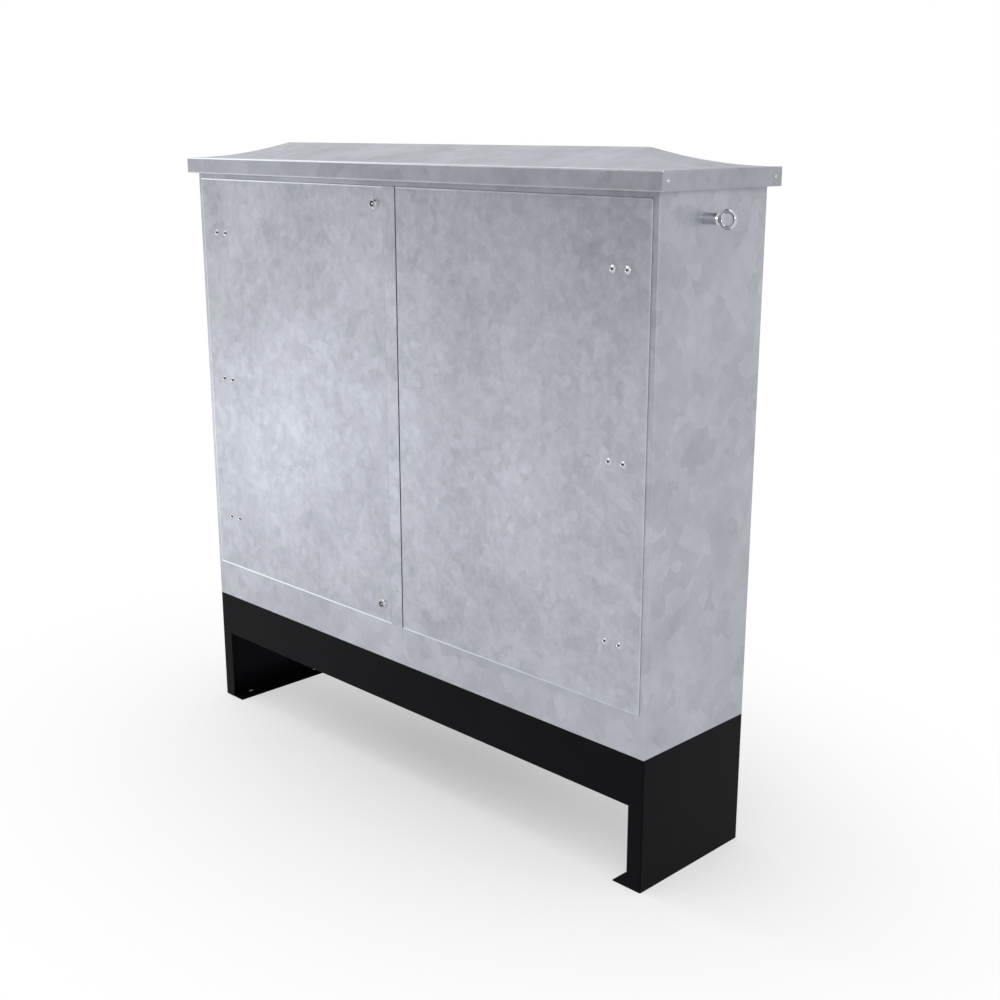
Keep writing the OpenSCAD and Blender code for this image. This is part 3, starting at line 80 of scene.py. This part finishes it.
# The fuses hang on three equal bars, one step apart, and are silver above and below their bodies
BAR_HEIGHT = 60 * MM
BARS_LOW, BARS_HIGH = reach_of("phase_bars", UP)
PHASE_MIDDLE = (BARS_LOW + BARS_HIGH) / 2
PHASE_STEP = (BARS_HIGH - BARS_LOW - BAR_HEIGHT) / 2
FUSE_BODY_HALF = 32.5 * MM

# The floor under a foot flange, a little smaller than the flange
FOOT_MARGIN = 5 * MM
FOOT_LEFT, FOOT_RIGHT = reach_of("root_side_right", ACROSS)
FOOT_MIDDLE = (FOOT_LEFT + FOOT_RIGHT) / 2
FOOT_HALF = (FOOT_RIGHT - FOOT_LEFT) / 2 - FOOT_MARGIN
FOOT_REACH = reach_of("root_side_right", DEEP)[1] - FOOT_MARGIN


# Shader sums

class Signal:
    """A shader socket that can be added, multiplied and so on like a number."""

    def __init__(self, tree, socket):
        self.tree = tree
        self.socket = socket

    def combined(self, operation, other, swapped=False):
        """The result of a Math node on this signal and another signal or number."""
        first, second = (other, self) if swapped else (self, other)
        node = self.tree.add("ShaderNodeMath", {"operation": operation}, {0: first, 1: second})
        return node.out(0)

    def __add__(self, other):
        return self.combined("ADD", other)

    __radd__ = __add__

    def __mul__(self, other):
        return self.combined("MULTIPLY", other)

    __rmul__ = __mul__

    def __sub__(self, other):
        return self.combined("SUBTRACT", other)

    def __rsub__(self, other):
        return self.combined("SUBTRACT", other, swapped=True)

    def __abs__(self):
        return self.combined("ABSOLUTE", 0.0)

    def least(self, other):
        """The smaller of this signal and another."""
        return self.combined("MINIMUM", other)

    def below(self, limit):
        """1 where this signal is less than the limit, else 0."""
        return self.combined("LESS_THAN", limit)


class Built:
    """A node that was added, whose outputs are asked for by name or number."""

    def __init__(self, tree, node):
        self.tree = tree
        self.node = node

    def out(self, name):
        return Signal(self.tree, self.node.outputs[name])


class Tree:
    """A node tree that is written as expressions. All its lengths are in metres."""

    def __init__(self, owner):
        owner.use_nodes = True
        self.nodes = owner.node_tree.nodes
        self.links = owner.node_tree.links
        self.nodes.clear()

    def add(self, kind, settings=None, inputs=None):
        """Adds a node: its settings are set first, then its sockets get values or links."""
        node = self.nodes.new(kind)
        for key, value in (settings or {}).items():
            if key == "stops":
                self.set_stops(node.color_ramp, value)
            else:
                setattr(node, key, value)
        for key, value in (inputs or {}).items():
            if isinstance(value, Signal):
                self.links.new(value.socket, node.inputs[key])
            else:
                node.inputs[key].default_value = value
        return Built(self, node)

    @staticmethod
    def set_stops(ramp, stops):
        """Gives a colour ramp its stops, each a place and a grey or a colour."""
        while len(ramp.elements) < len(stops):
            ramp.elements.new(1.0)
        for element, (place, tone) in zip(ramp.elements, stops):
            element.position = place
            element.color = (tone, tone, tone, 1) if isinstance(tone, (int, float)) else (*tone, 1)

    def vector(self, operation, first, second):
        """The result of a Vector Math node on two vectors."""
        return self.add("ShaderNodeVectorMath", {"operation": operation}, {0: first, 1: second}).out(0)

    def place(self):
        """The object's own coordinates."""
        return self.add("ShaderNodeTexCoord").out("Object")

    def parts_of(self, vector):
        """A vector's node of separate parts, named X, Y and Z."""
        return self.add("ShaderNodeSeparateXYZ", None, {0: vector})

    def stretched(self, vector, scale):
        """The vector multiplied part by part, which stretches a pattern where the scale is under 1."""
        return self.add("ShaderNodeMapping", None, {"Vector": vector, "Scale": scale}).out(0)

    def noise(self, vector, size, detail, roughness=0.5):
        """Soft noise from 0 to 1 whose lumps are about one size across."""
        return self.add("ShaderNodeTexNoise", None, {
            "Vector": vector, "Scale": 1 / size, "Detail": detail, "Roughness": roughness}).out(0)

    def shifted(self, vector, size, amount):
        """The vector pushed about by noise, by up to about one amount."""
        wobble = self.add("ShaderNodeTexNoise", None, {"Vector": vector, "Scale": 1 / size, "Detail": 2.0})
        centred = self.vector("SUBTRACT", wobble.out("Color"), (0.5, 0.5, 0.5))
        push = self.add("ShaderNodeVectorMath", {"operation": "SCALE"}, {0: centred, "Scale": 2 * amount})
        return self.vector("ADD", vector, push.out(0))

    def cells(self, vector, size):
        """One random tone from 0 to 1 for each cell about one size across."""
        cell = self.add("ShaderNodeTexVoronoi", None, {"Vector": vector, "Scale": 1 / size})
        return self.add("ShaderNodeSeparateColor", None, {0: cell.out("Color")}).out(0)

    def ramp(self, tone, stops, interpolation="LINEAR"):
        """A tone or a colour that follows the stops."""
        ramp = self.add("ShaderNodeValToRGB", {"stops": stops}, {0: tone})
        ramp.node.color_ramp.interpolation = interpolation
        return ramp.out(0)

    def blended(self, factor, first, second):
        """A colour between two colours."""
        return self.add("ShaderNodeMix", {"data_type": "RGBA"}, {
            0: factor, 6: socket_colour(first), 7: socket_colour(second)}).out(2)

    def bump(self, height, distance, strength):
        """A normal that follows a height."""
        return self.add("ShaderNodeBump", None, {
            "Height": height, "Distance": distance, "Strength": strength}).out(0)


def socket_colour(value):
    """A colour as a socket takes it: a signal, or three numbers and an alpha of 1."""
    return value if isinstance(value, Signal) else (*value, 1.0)


def finish(name, paint):
    """A material whose paint function returns the sockets of its surface shader."""
    material = bpy.data.materials.new(name)
    tree = Tree(material)
    shader = tree.add("ShaderNodeBsdfPrincipled", None, paint(tree))
    tree.add("ShaderNodeOutputMaterial", None, {"Surface": shader.out(0)})
    return material


# Finishes

ZINC_DARK = (0.342, 0.354, 0.392)
ZINC_LIGHT = (0.566, 0.584, 0.640)
# The colour of the highlights painted along the folds of the doors and the canopy's rim
HIGHLIGHT_ZINC = (0.90, 0.93, 0.98)
DOOR_SPANGLE = 26 * MM
SHEET_SPANGLE = 42 * MM
CLOUD = 0.34

CHROME_DULL = (0.46, 0.47, 0.49)
CHROME_BRIGHT = (0.62, 0.63, 0.65)


def door_bend_highlights(tree, place):
    """Painted highlight along the outer folds of the two doors, which together fill one rectangle.

    It stands for the light that the small rounded folds reflect. It is strongest at the left, where the
    light comes from, and wider along the top and bottom than along the sides.
    """
    parts = tree.parts_of(place)
    across, up = parts.out("X"), parts.out("Z")
    sides = tree.ramp((DOORS_HALF_WIDTH - abs(across)) * PER_CM, [(0.22, 1.0), (0.38, 0.0)])
    bottom = tree.ramp((up - DOORS_LOW) * PER_CM, [(0.42, 1.0), (0.64, 0.0)])
    top = tree.ramp((DOORS_HIGH - up) * PER_CM, [(0.40, 1.0), (0.62, 0.0)])
    painted_highlight = (sides * (0.50 - across * 0.28)
              + bottom * (0.68 - across * 0.60)
              + top * (0.52 - across * 0.42))
    return painted_highlight.least(1.0)


def rim_bend_highlights(tree, place):
    """Painted highlight along the front of the canopy's rim, most at its top edge, for the light that its
    rounded folds reflect.
    """
    parts = tree.parts_of(place)
    up = parts.out("Z")
    top = tree.ramp(abs(up - RIM_HIGH) * PER_CM, [(0.26, 1.0), (0.46, 0.0)])
    bottom = tree.ramp(abs(up - RIM_LOW) * PER_CM, [(0.20, 0.42), (0.40, 0.0)])
    at_front = tree.ramp((RIM_HIGHLIGHT_FROM - parts.out("Y")) * PER_CM, [(0.0, 0.0), (0.2, 1.0)])
    return (top + bottom) * at_front


def galvanised(name, spangle, flakes, mottling, shade=1.0, seed=0.0, bend_highlights=None):
    """Hot-dip galvanised sheet: flakes of one tone each, fine mottling, large pale clouds, painted fold
    highlights.

    The spangle is the size of a flake. Flakes and mottling are the strengths of those patterns, a shade
    below 1 darkens the whole sheet as painted shade, the seed moves the pattern, and the last argument
    says where a highlight is painted along the folds, for the light that their small rounded edges
    reflect.
    """
    dark = [tone * shade for tone in ZINC_DARK]
    light = [tone * shade for tone in ZINC_LIGHT]

    def paint(tree):
        own = tree.place()
        place = tree.vector("ADD", own, (seed, seed, seed))
        uneven = tree.shifted(place, spangle * 1.1, spangle * 0.5)
        ragged = tree.shifted(uneven, spangle * 0.25, spangle * 0.12)
        small = tree.cells(ragged, spangle * 0.6)
        large = tree.cells(ragged, spangle * 1.3)
        mottle = tree.noise(tree.shifted(place, spangle, spangle * 0.4), spangle * 0.9, 5.0, 0.6)
        patches = tree.noise(tree.shifted(place, spangle * 3, spangle), spangle * 4, 4.0, 0.6)
        clouds = tree.noise(tree.shifted(place, 0.30, 0.08), CLOUD, 4.0, 0.55)
        flake = small * 0.35 + large * 0.65
        level = ((flake - 0.5) * flakes + (mottle - 0.5) * mottling + (patches - 0.5) * mottling * 0.6
                 + (clouds - 0.5) * 0.8 + 0.5)
        sheet = tree.blended(level, dark, light)
        rough = small * 0.06 + (1 - clouds) * 0.10 + 0.40
        # A highlight painted along the folds: a brighter zinc colour there, and a little glossier
        if bend_highlights:
            painted_highlight = bend_highlights(tree, own)
            sheet = tree.blended(painted_highlight, sheet, HIGHLIGHT_ZINC)
            rough = rough - painted_highlight * 0.15
        return {
            "Base Color": sheet,
            "Metallic": 0.75,
            "Roughness": rough,
            "Normal": tree.bump(flake * 0.4 + mottle * 0.6, 0.4 * MM, 0.22),
        }
    return finish(name, paint)


def black_paint():
    """Satin black paint over steel, with a little orange peel and dust."""
    clean, dusty = (0.0034, 0.0036, 0.0048), (0.0058, 0.0060, 0.0076)

    def paint(tree):
        place = tree.place()
        peel = tree.noise(place, 3.5 * MM, 2.0)
        dust = tree.ramp(tree.noise(place, 0.25, 4.0), [(0.45, 0.0), (0.8, 1.0)])
        return {
            "Base Color": tree.blended(dust, clean, dusty),
            "Specular IOR Level": 0.04,
            "Roughness": dust * 0.08 + peel * 0.05 + 0.30,
            "Normal": tree.bump(peel, 0.2 * MM, 0.3),
        }
    return finish("black_paint", paint)


def zinc_plate():
    """Bright zinc-plated fasteners with a faint blue cast and dull spots."""
    bright, dull = (0.60, 0.62, 0.65), (0.46, 0.47, 0.49)

    def paint(tree):
        place = tree.place()
        spots = tree.ramp(tree.noise(place, 6 * MM, 3.0), [(0.4, 0.0), (0.7, 1.0)])
        return {
            "Base Color": tree.blended(spots, bright, dull),
            "Metallic": 1.0,
            "Roughness": spots * 0.15 + 0.25,
            "Normal": tree.bump(tree.noise(place, 1.2 * MM, 2.0), 0.1 * MM, 0.2),
        }
    return finish("zinc_plate", paint)


def polished_chrome():
    """Polished chrome with faint smudges."""
    def paint(tree):
        smudge = tree.noise(tree.place(), 20 * MM, 4.0)
        return {
            "Base Color": tree.blended(smudge, CHROME_DULL, CHROME_BRIGHT),
            "Metallic": 1.0,
            "Roughness": smudge * 0.08 + 0.06,
            "Normal": tree.bump(smudge, 0.2 * MM, 0.1),
        }
    return finish("polished_chrome", paint)


def lock_chrome():
    """Polished chrome lock housings, whose key wells are painted dark: painted shade in the recess, and a
    little old greasy dirt.
    """
    grease_and_shade = (0.085, 0.087, 0.094)
    well_edge = 10 * MM

    def paint(tree):
        place = tree.place()
        smudge = tree.noise(place, 20 * MM, 4.0)
        chrome = tree.blended(smudge, CHROME_DULL, CHROME_BRIGHT)
        parts = tree.parts_of(place)
        across, up = parts.out("X") - LOCKS_ACROSS, parts.out("Z")
        rise = abs(up - LOCK_TOP_HEIGHT).least(abs(up - LOCK_BOTTOM_HEIGHT))
        # Inside the key well the chrome is painted dark, as painted shade in the recess with a little
        # greasy dirt
        # The well's edge lies half way along the ramp
        from_middle = (across * across + rise * rise) * (0.5 / well_edge ** 2)
        well = tree.ramp(from_middle, [(0.36, 1.0), (0.50, 0.0)])
        return {
            "Base Color": tree.blended(well, chrome, grease_and_shade),
            "Metallic": 1.0,
            "Roughness": smudge * 0.08 + well * 0.25 + 0.06,
            "Normal": tree.bump(smudge, 0.2 * MM, 0.1),
        }
    return finish("lock_chrome", paint)


def seal_rubber():
    """Matt black sponge rubber with a dusty bloom."""
    clean, dusty = (0.010, 0.010, 0.010), (0.022, 0.022, 0.022)

    def paint(tree):
        place = tree.place()
        bloom = tree.noise(place, 30 * MM, 4.0)
        return {
            "Base Color": tree.blended(bloom, clean, dusty),
            "Roughness": bloom * 0.15 + 0.55,
            "Normal": tree.bump(tree.noise(place, 2 * MM, 2.0), 0.2 * MM, 0.3),
        }
    return finish("seal_rubber", paint)


def birch_plywood():
    """Sanded plywood: long grain along the board with darker lines."""
    line, middle, pale = (0.44, 0.29, 0.15), (0.62, 0.45, 0.27), (0.72, 0.56, 0.37)

    def paint(tree):
        place = tree.place()
        bent = tree.shifted(place, 0.25, 20 * MM)
        grain = tree.noise(tree.stretched(bent, (0.06, 1.0, 1.0)), 12 * MM, 4.0, 0.6)
        broad = tree.noise(tree.stretched(bent, (0.15, 1.0, 1.0)), 0.10, 2.0)
        tone = grain * 0.6 + broad * 0.4
        return {
            "Base Color": tree.ramp(tone, [(0.3, line), (0.5, middle), (0.7, pale)]),
            "Roughness": grain * 0.15 + 0.5,
            "Normal": tree.bump(grain, 0.3 * MM, 0.3),
        }
    return finish("birch_plywood", paint)


def plain_metal(name, bright, dull, size):
    """A bare coloured metal with soft tarnish, whose patches are about one size across."""
    def paint(tree):
        place = tree.place()
        tarnish = tree.noise(tree.shifted(place, size * 4, size), size, 4.0)
        rolled = tree.noise(tree.stretched(place, (0.04, 1.0, 1.0)), 1.5 * MM, 2.0)
        return {
            "Base Color": tree.blended(tarnish, bright, dull),
            "Metallic": 1.0,
            "Roughness": tarnish * 0.2 + rolled * 0.1 + 0.2,
            "Normal": tree.bump(rolled, 0.1 * MM, 0.2),
        }
    return finish(name, paint)


def moulded(name, deep, worn, roughness):
    """A moulded plastic or resin with a fine grained skin."""
    def paint(tree):
        place = tree.place()
        skin = tree.noise(place, 1.2 * MM, 2.0)
        haze = tree.noise(place, 60 * MM, 3.0)
        return {
            "Base Color": tree.blended(haze, deep, worn),
            "Roughness": haze * 0.12 + roughness,
            "Normal": tree.bump(skin, 0.1 * MM, 0.35),
        }
    return finish(name, paint)


def fuse_porcelain():
    """Glazed porcelain bodies, with silver blades above and below each body."""
    white, cream, silver = (0.80, 0.79, 0.74), (0.72, 0.71, 0.66), (0.62, 0.61, 0.58)

    def paint(tree):
        place = tree.place()
        height = tree.parts_of(place).out("Z")
        from_bar = (height - PHASE_MIDDLE).combined("PINGPONG", PHASE_STEP / 2)
        blades = from_bar.combined("GREATER_THAN", FUSE_BODY_HALF)
        haze = tree.noise(place, 20 * MM, 3.0)
        return {
            "Base Color": tree.blended(blades, tree.blended(haze, white, cream), silver),
            "Metallic": blades,
            "Roughness": blades * 0.12 + haze * 0.05 + 0.18,
            "Normal": tree.bump(haze, 0.2 * MM, 0.2),
        }
    return finish("fuse_porcelain", paint)


BY_SLOT = {
    "black_paint": black_paint(),
    "galvanised_sheet": galvanised("sheet_zinc", SHEET_SPANGLE, 0.46, 0.26, seed=1.7),
    "zinc_plated_steel": zinc_plate(),
    "chrome": polished_chrome(),
    "rubber": seal_rubber(),
    "plywood": birch_plywood(),
    "brass": plain_metal("plain_brass", (0.70, 0.50, 0.20), (0.50, 0.34, 0.14), 10 * MM),
    "copper": plain_metal("rolled_copper", (0.80, 0.42, 0.26), (0.52, 0.26, 0.16), 60 * MM),
    "moulded_resin": moulded("brown_resin", (0.15, 0.035, 0.018), (0.19, 0.050, 0.026), 0.22),
    "moulded_plastic": moulded("black_moulding", (0.022, 0.022, 0.024), (0.032, 0.032, 0.035), 0.42),
    "ceramic": fuse_porcelain(),
}
BY_NODE = {
    "door_left": galvanised("door_left_zinc", DOOR_SPANGLE, 0.42, 0.80, bend_highlights=door_bend_highlights),
    "door_left_meeting_strip": galvanised("meeting_strip_zinc", DOOR_SPANGLE, 0.42, 0.80, seed=3.1),
    "door_right": galvanised("door_right_zinc", DOOR_SPANGLE, 0.42, 0.80, seed=7.3, bend_highlights=door_bend_highlights),
    # The canopy's zinc is painted 0.88 as dark as the other sheet, as painted shade on its roof and rim
    "canopy": galvanised("canopy_zinc", SHEET_SPANGLE, 0.42, 0.36, 0.88, seed=5.9, bend_highlights=rim_bend_highlights),
    "lock_housings": lock_chrome(),
}


# Rounded edges, as folded sheet has them

ROUNDING_STEPS = 3
SAME_POINT = 0.01 * MM
FLAT_ANGLE = math.radians(0.5)
SHARP_ANGLE = math.radians(50)
SOFT_EDGES = {
    "canopy": 1.6 * MM,
    "root_side_left": 1.0 * MM,
    "root_side_right": 1.0 * MM,
    "root_front_beam": 1.0 * MM,
    "root_rear_beam": 1.0 * MM,
    "sill_rail": 0.8 * MM,
    "head_rail": 0.8 * MM,
    "door_left_meeting_strip": 0.6 * MM,
}


def dress(piece, material):
    """Gives a piece one finish."""
    piece.data.materials.clear()
    piece.data.materials.append(material)


def placed(name, mesh):
    """Makes a bmesh an object of the scene."""
    data = bpy.data.meshes.new(name)
    mesh.to_mesh(data)
    mesh.free()
    piece = bpy.data.objects.new(name, data)
    bpy.context.scene.collection.objects.link(piece)
    return piece


def softened(node, width):
    """Replaces a solid by the same shape with its sharp edges rounded."""
    mesh = bmesh.new()
    mesh.from_mesh(NODES[node].data)
    bmesh.ops.remove_doubles(mesh, verts=mesh.verts, dist=SAME_POINT)
    bmesh.ops.dissolve_limit(mesh, angle_limit=FLAT_ANGLE, verts=mesh.verts, edges=mesh.edges)
    sharp = [edge for edge in mesh.edges if edge.is_manifold and edge.calc_face_angle() > SHARP_ANGLE]
    bmesh.ops.bevel(mesh, geom=sharp, offset=width, offset_type="OFFSET", segments=ROUNDING_STEPS,
                    profile=0.5, affect="EDGES", clamp_overlap=True, material=-1)
    for face in mesh.faces:
        face.smooth = True
    piece = placed(node + "_soft", mesh)
    piece.data.set_sharp_from_angle(angle=SHARP_ANGLE)
    piece.modifiers.new("even_shading", "WEIGHTED_NORMAL").keep_sharp = True
    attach(piece, BODY_OF[node])
    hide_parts(node)
    return piece


for part in frame["record"]["subparts"]:
    name = part["node"]
    material = BY_NODE.get(name, BY_SLOT[part["material_slot"]])
    if name in SOFT_EDGES:
        dress(softened(name, SOFT_EDGES[name]), material)
    dress(NODES[name], material)


# Studio

FLOOR_REACH = 60.0
MATT = 0.8
WHITE = (1, 1, 1, 1)

# Camera, fitted to the pillar's corners in the photograph
CAMERA_PLACE = (3.1579, -2.9209, 2.0509)
CAMERA_AZIMUTH = math.radians(45.11)
CAMERA_PITCH = math.radians(15.04)
CAMERA_LENS = 50.02
SENSOR = 36.0

# The grey card stands in front of the doors and darkens what they and the chrome reflect
CARD_LEFT = (-3.5, -3.5)
CARD_RIGHT = (2.4, -6.1)
CARD_LOW, CARD_HIGH = 0.6, 3.8


def stage_plane(name, corners, material):
    """A flat stage piece through four corners."""
    mesh = bmesh.new()
    mesh.faces.new([mesh.verts.new(corner) for corner in corners])
    piece = placed(name, mesh)
    dress(piece, material)
    return piece


def seen_rays(tree):
    """1 for rays that show the background, straight on or in metal and glass."""
    path = tree.add("ShaderNodeLightPath")
    return path.out("Is Camera Ray") + path.out("Is Glossy Ray") + path.out("Is Transmission Ray")


def matt_tone(tree, place, low, high):
    """Sockets of a matt grey that wanders between two tones."""
    mottle = tree.noise(place, 0.8, 2.0)
    return {"Base Color": tree.blended(mottle, low, high), "Roughness": MATT}


def pale_floor():
    """A pale floor that keeps the shadow near the pillar and fades to white around it.

    Under the foot flanges, where only their bolt holes show it, it doesn't fade.
    """
    material = bpy.data.materials.new("pale_floor")
    tree = Tree(material)
    place = tree.place()
    tone = matt_tone(tree, place, (0.93, 0.93, 0.93), (0.94, 0.94, 0.94))
    near = tree.add("ShaderNodeBsdfPrincipled", None, tone).out(0)
    far = tree.add("ShaderNodeEmission", None, {"Color": WHITE, "Strength": 1.0}).out(0)
    oval = tree.stretched(place, (0.7, 1.0, 1.0))
    reach = tree.add("ShaderNodeVectorMath", {"operation": "LENGTH"}, {0: oval}).out("Value")
    fade = tree.ramp(reach * 0.25, [(0.0, 0.28), (0.42, 1.0)], "EASE")
    parts = tree.parts_of(place)
    beside_foot = abs(abs(parts.out("X")) - FOOT_MIDDLE)
    under_feet = beside_foot.below(FOOT_HALF) * abs(parts.out("Y")).below(FOOT_REACH)
    factor = tree.add("ShaderNodeMath", {"operation": "MULTIPLY", "use_clamp": True},
                      {0: fade * (1 - under_feet), 1: seen_rays(tree)})
    floor = tree.add("ShaderNodeMixShader", None, {0: factor.out(0), 1: near, 2: far}).out(0)
    tree.add("ShaderNodeOutputMaterial", None, {"Surface": floor})
    return material


def card_grey(tree):
    """The grey card's matt dark grey."""
    return matt_tone(tree, tree.place(), (0.05, 0.05, 0.052), (0.06, 0.06, 0.062))


def grey_card():
    """Stands the card up, seen in reflections only."""
    lower = [(*CARD_LEFT, CARD_LOW), (*CARD_RIGHT, CARD_LOW)]
    upper = [(*CARD_RIGHT, CARD_HIGH), (*CARD_LEFT, CARD_HIGH)]
    card = stage_plane("grey_card", lower + upper, finish("grey_card", card_grey))
    card.visible_camera = False
    card.visible_diffuse = False
    card.visible_shadow = False


def studio_world():
    """An even white surround that lights the pillar less brightly than it shows itself."""
    light_strength, seen_strength = 0.60, 1.0
    world = bpy.data.worlds.new("studio")
    bpy.context.scene.world = world
    tree = Tree(world)
    strength = tree.add("ShaderNodeMix", {"data_type": "FLOAT", "clamp_factor": True},
                        {0: seen_rays(tree), 2: light_strength, 3: seen_strength}).out(0)
    background = tree.add("ShaderNodeBackground", None, {"Color": WHITE, "Strength": strength})
    tree.add("ShaderNodeOutputWorld", None, {"Surface": background.out(0)})


def lamp(name, kind, place, aim, power, **settings):
    """A light that looks from its place at a point."""
    light = bpy.data.lights.new(name, kind)
    light.energy = power
    for key, value in settings.items():
        setattr(light, key, value)
    holder = bpy.data.objects.new(name, light)
    holder.location = place
    holder.rotation_euler = (Vector(aim) - Vector(place)).to_track_quat("-Z", "Y").to_euler()
    bpy.context.scene.collection.objects.link(holder)


def sun(name, place, strength, spread):
    """A sun that shines from a place towards the pillar, spread over some degrees."""
    lamp(name, "SUN", place, (0, 0, 0), strength, angle=math.radians(spread))


def softbox(name, place, aim, watts, width, height):
    """A rectangular light."""
    lamp(name, "AREA", place, aim, watts, shape="RECTANGLE", size=width, size_y=height)


def studio_camera():
    """The photograph's camera."""
    data = bpy.data.cameras.new("camera")
    data.lens = CAMERA_LENS
    data.sensor_width = SENSOR
    camera = bpy.data.objects.new("camera", data)
    camera.location = CAMERA_PLACE
    camera.rotation_euler = Euler((math.pi / 2 - CAMERA_PITCH, 0, CAMERA_AZIMUTH))
    bpy.context.scene.collection.objects.link(camera)
    bpy.context.scene.camera = camera


floor_corners = [(x * FLOOR_REACH, y * FLOOR_REACH, 0) for x, y in ((-1, -1), (1, -1), (1, 1), (-1, 1))]
stage_plane("pale_floor", floor_corners, pale_floor())
grey_card()
studio_world()
sun("overhead", place=(-2.4, -1.8, 6.0), strength=0.65, spread=60)
softbox("left_softbox", place=(-4.6, -3.3, 1.1), aim=(-0.6, -0.2, 1.0), watts=8, width=3.0, height=2.0)
softbox("low_softbox", place=(-2.9, -2.4, 0.34), aim=(-0.8, -0.2, 0.3), watts=11, width=2.6, height=0.85)
sun("top_edge_light", place=(-4.0, -0.7, 4.2), strength=0.25, spread=12)
sun("corner_light", place=(2.7, -2.2, 1.0), strength=0.4, spread=15)
studio_camera()
bpy.context.scene.view_settings.view_transform = "Standard"
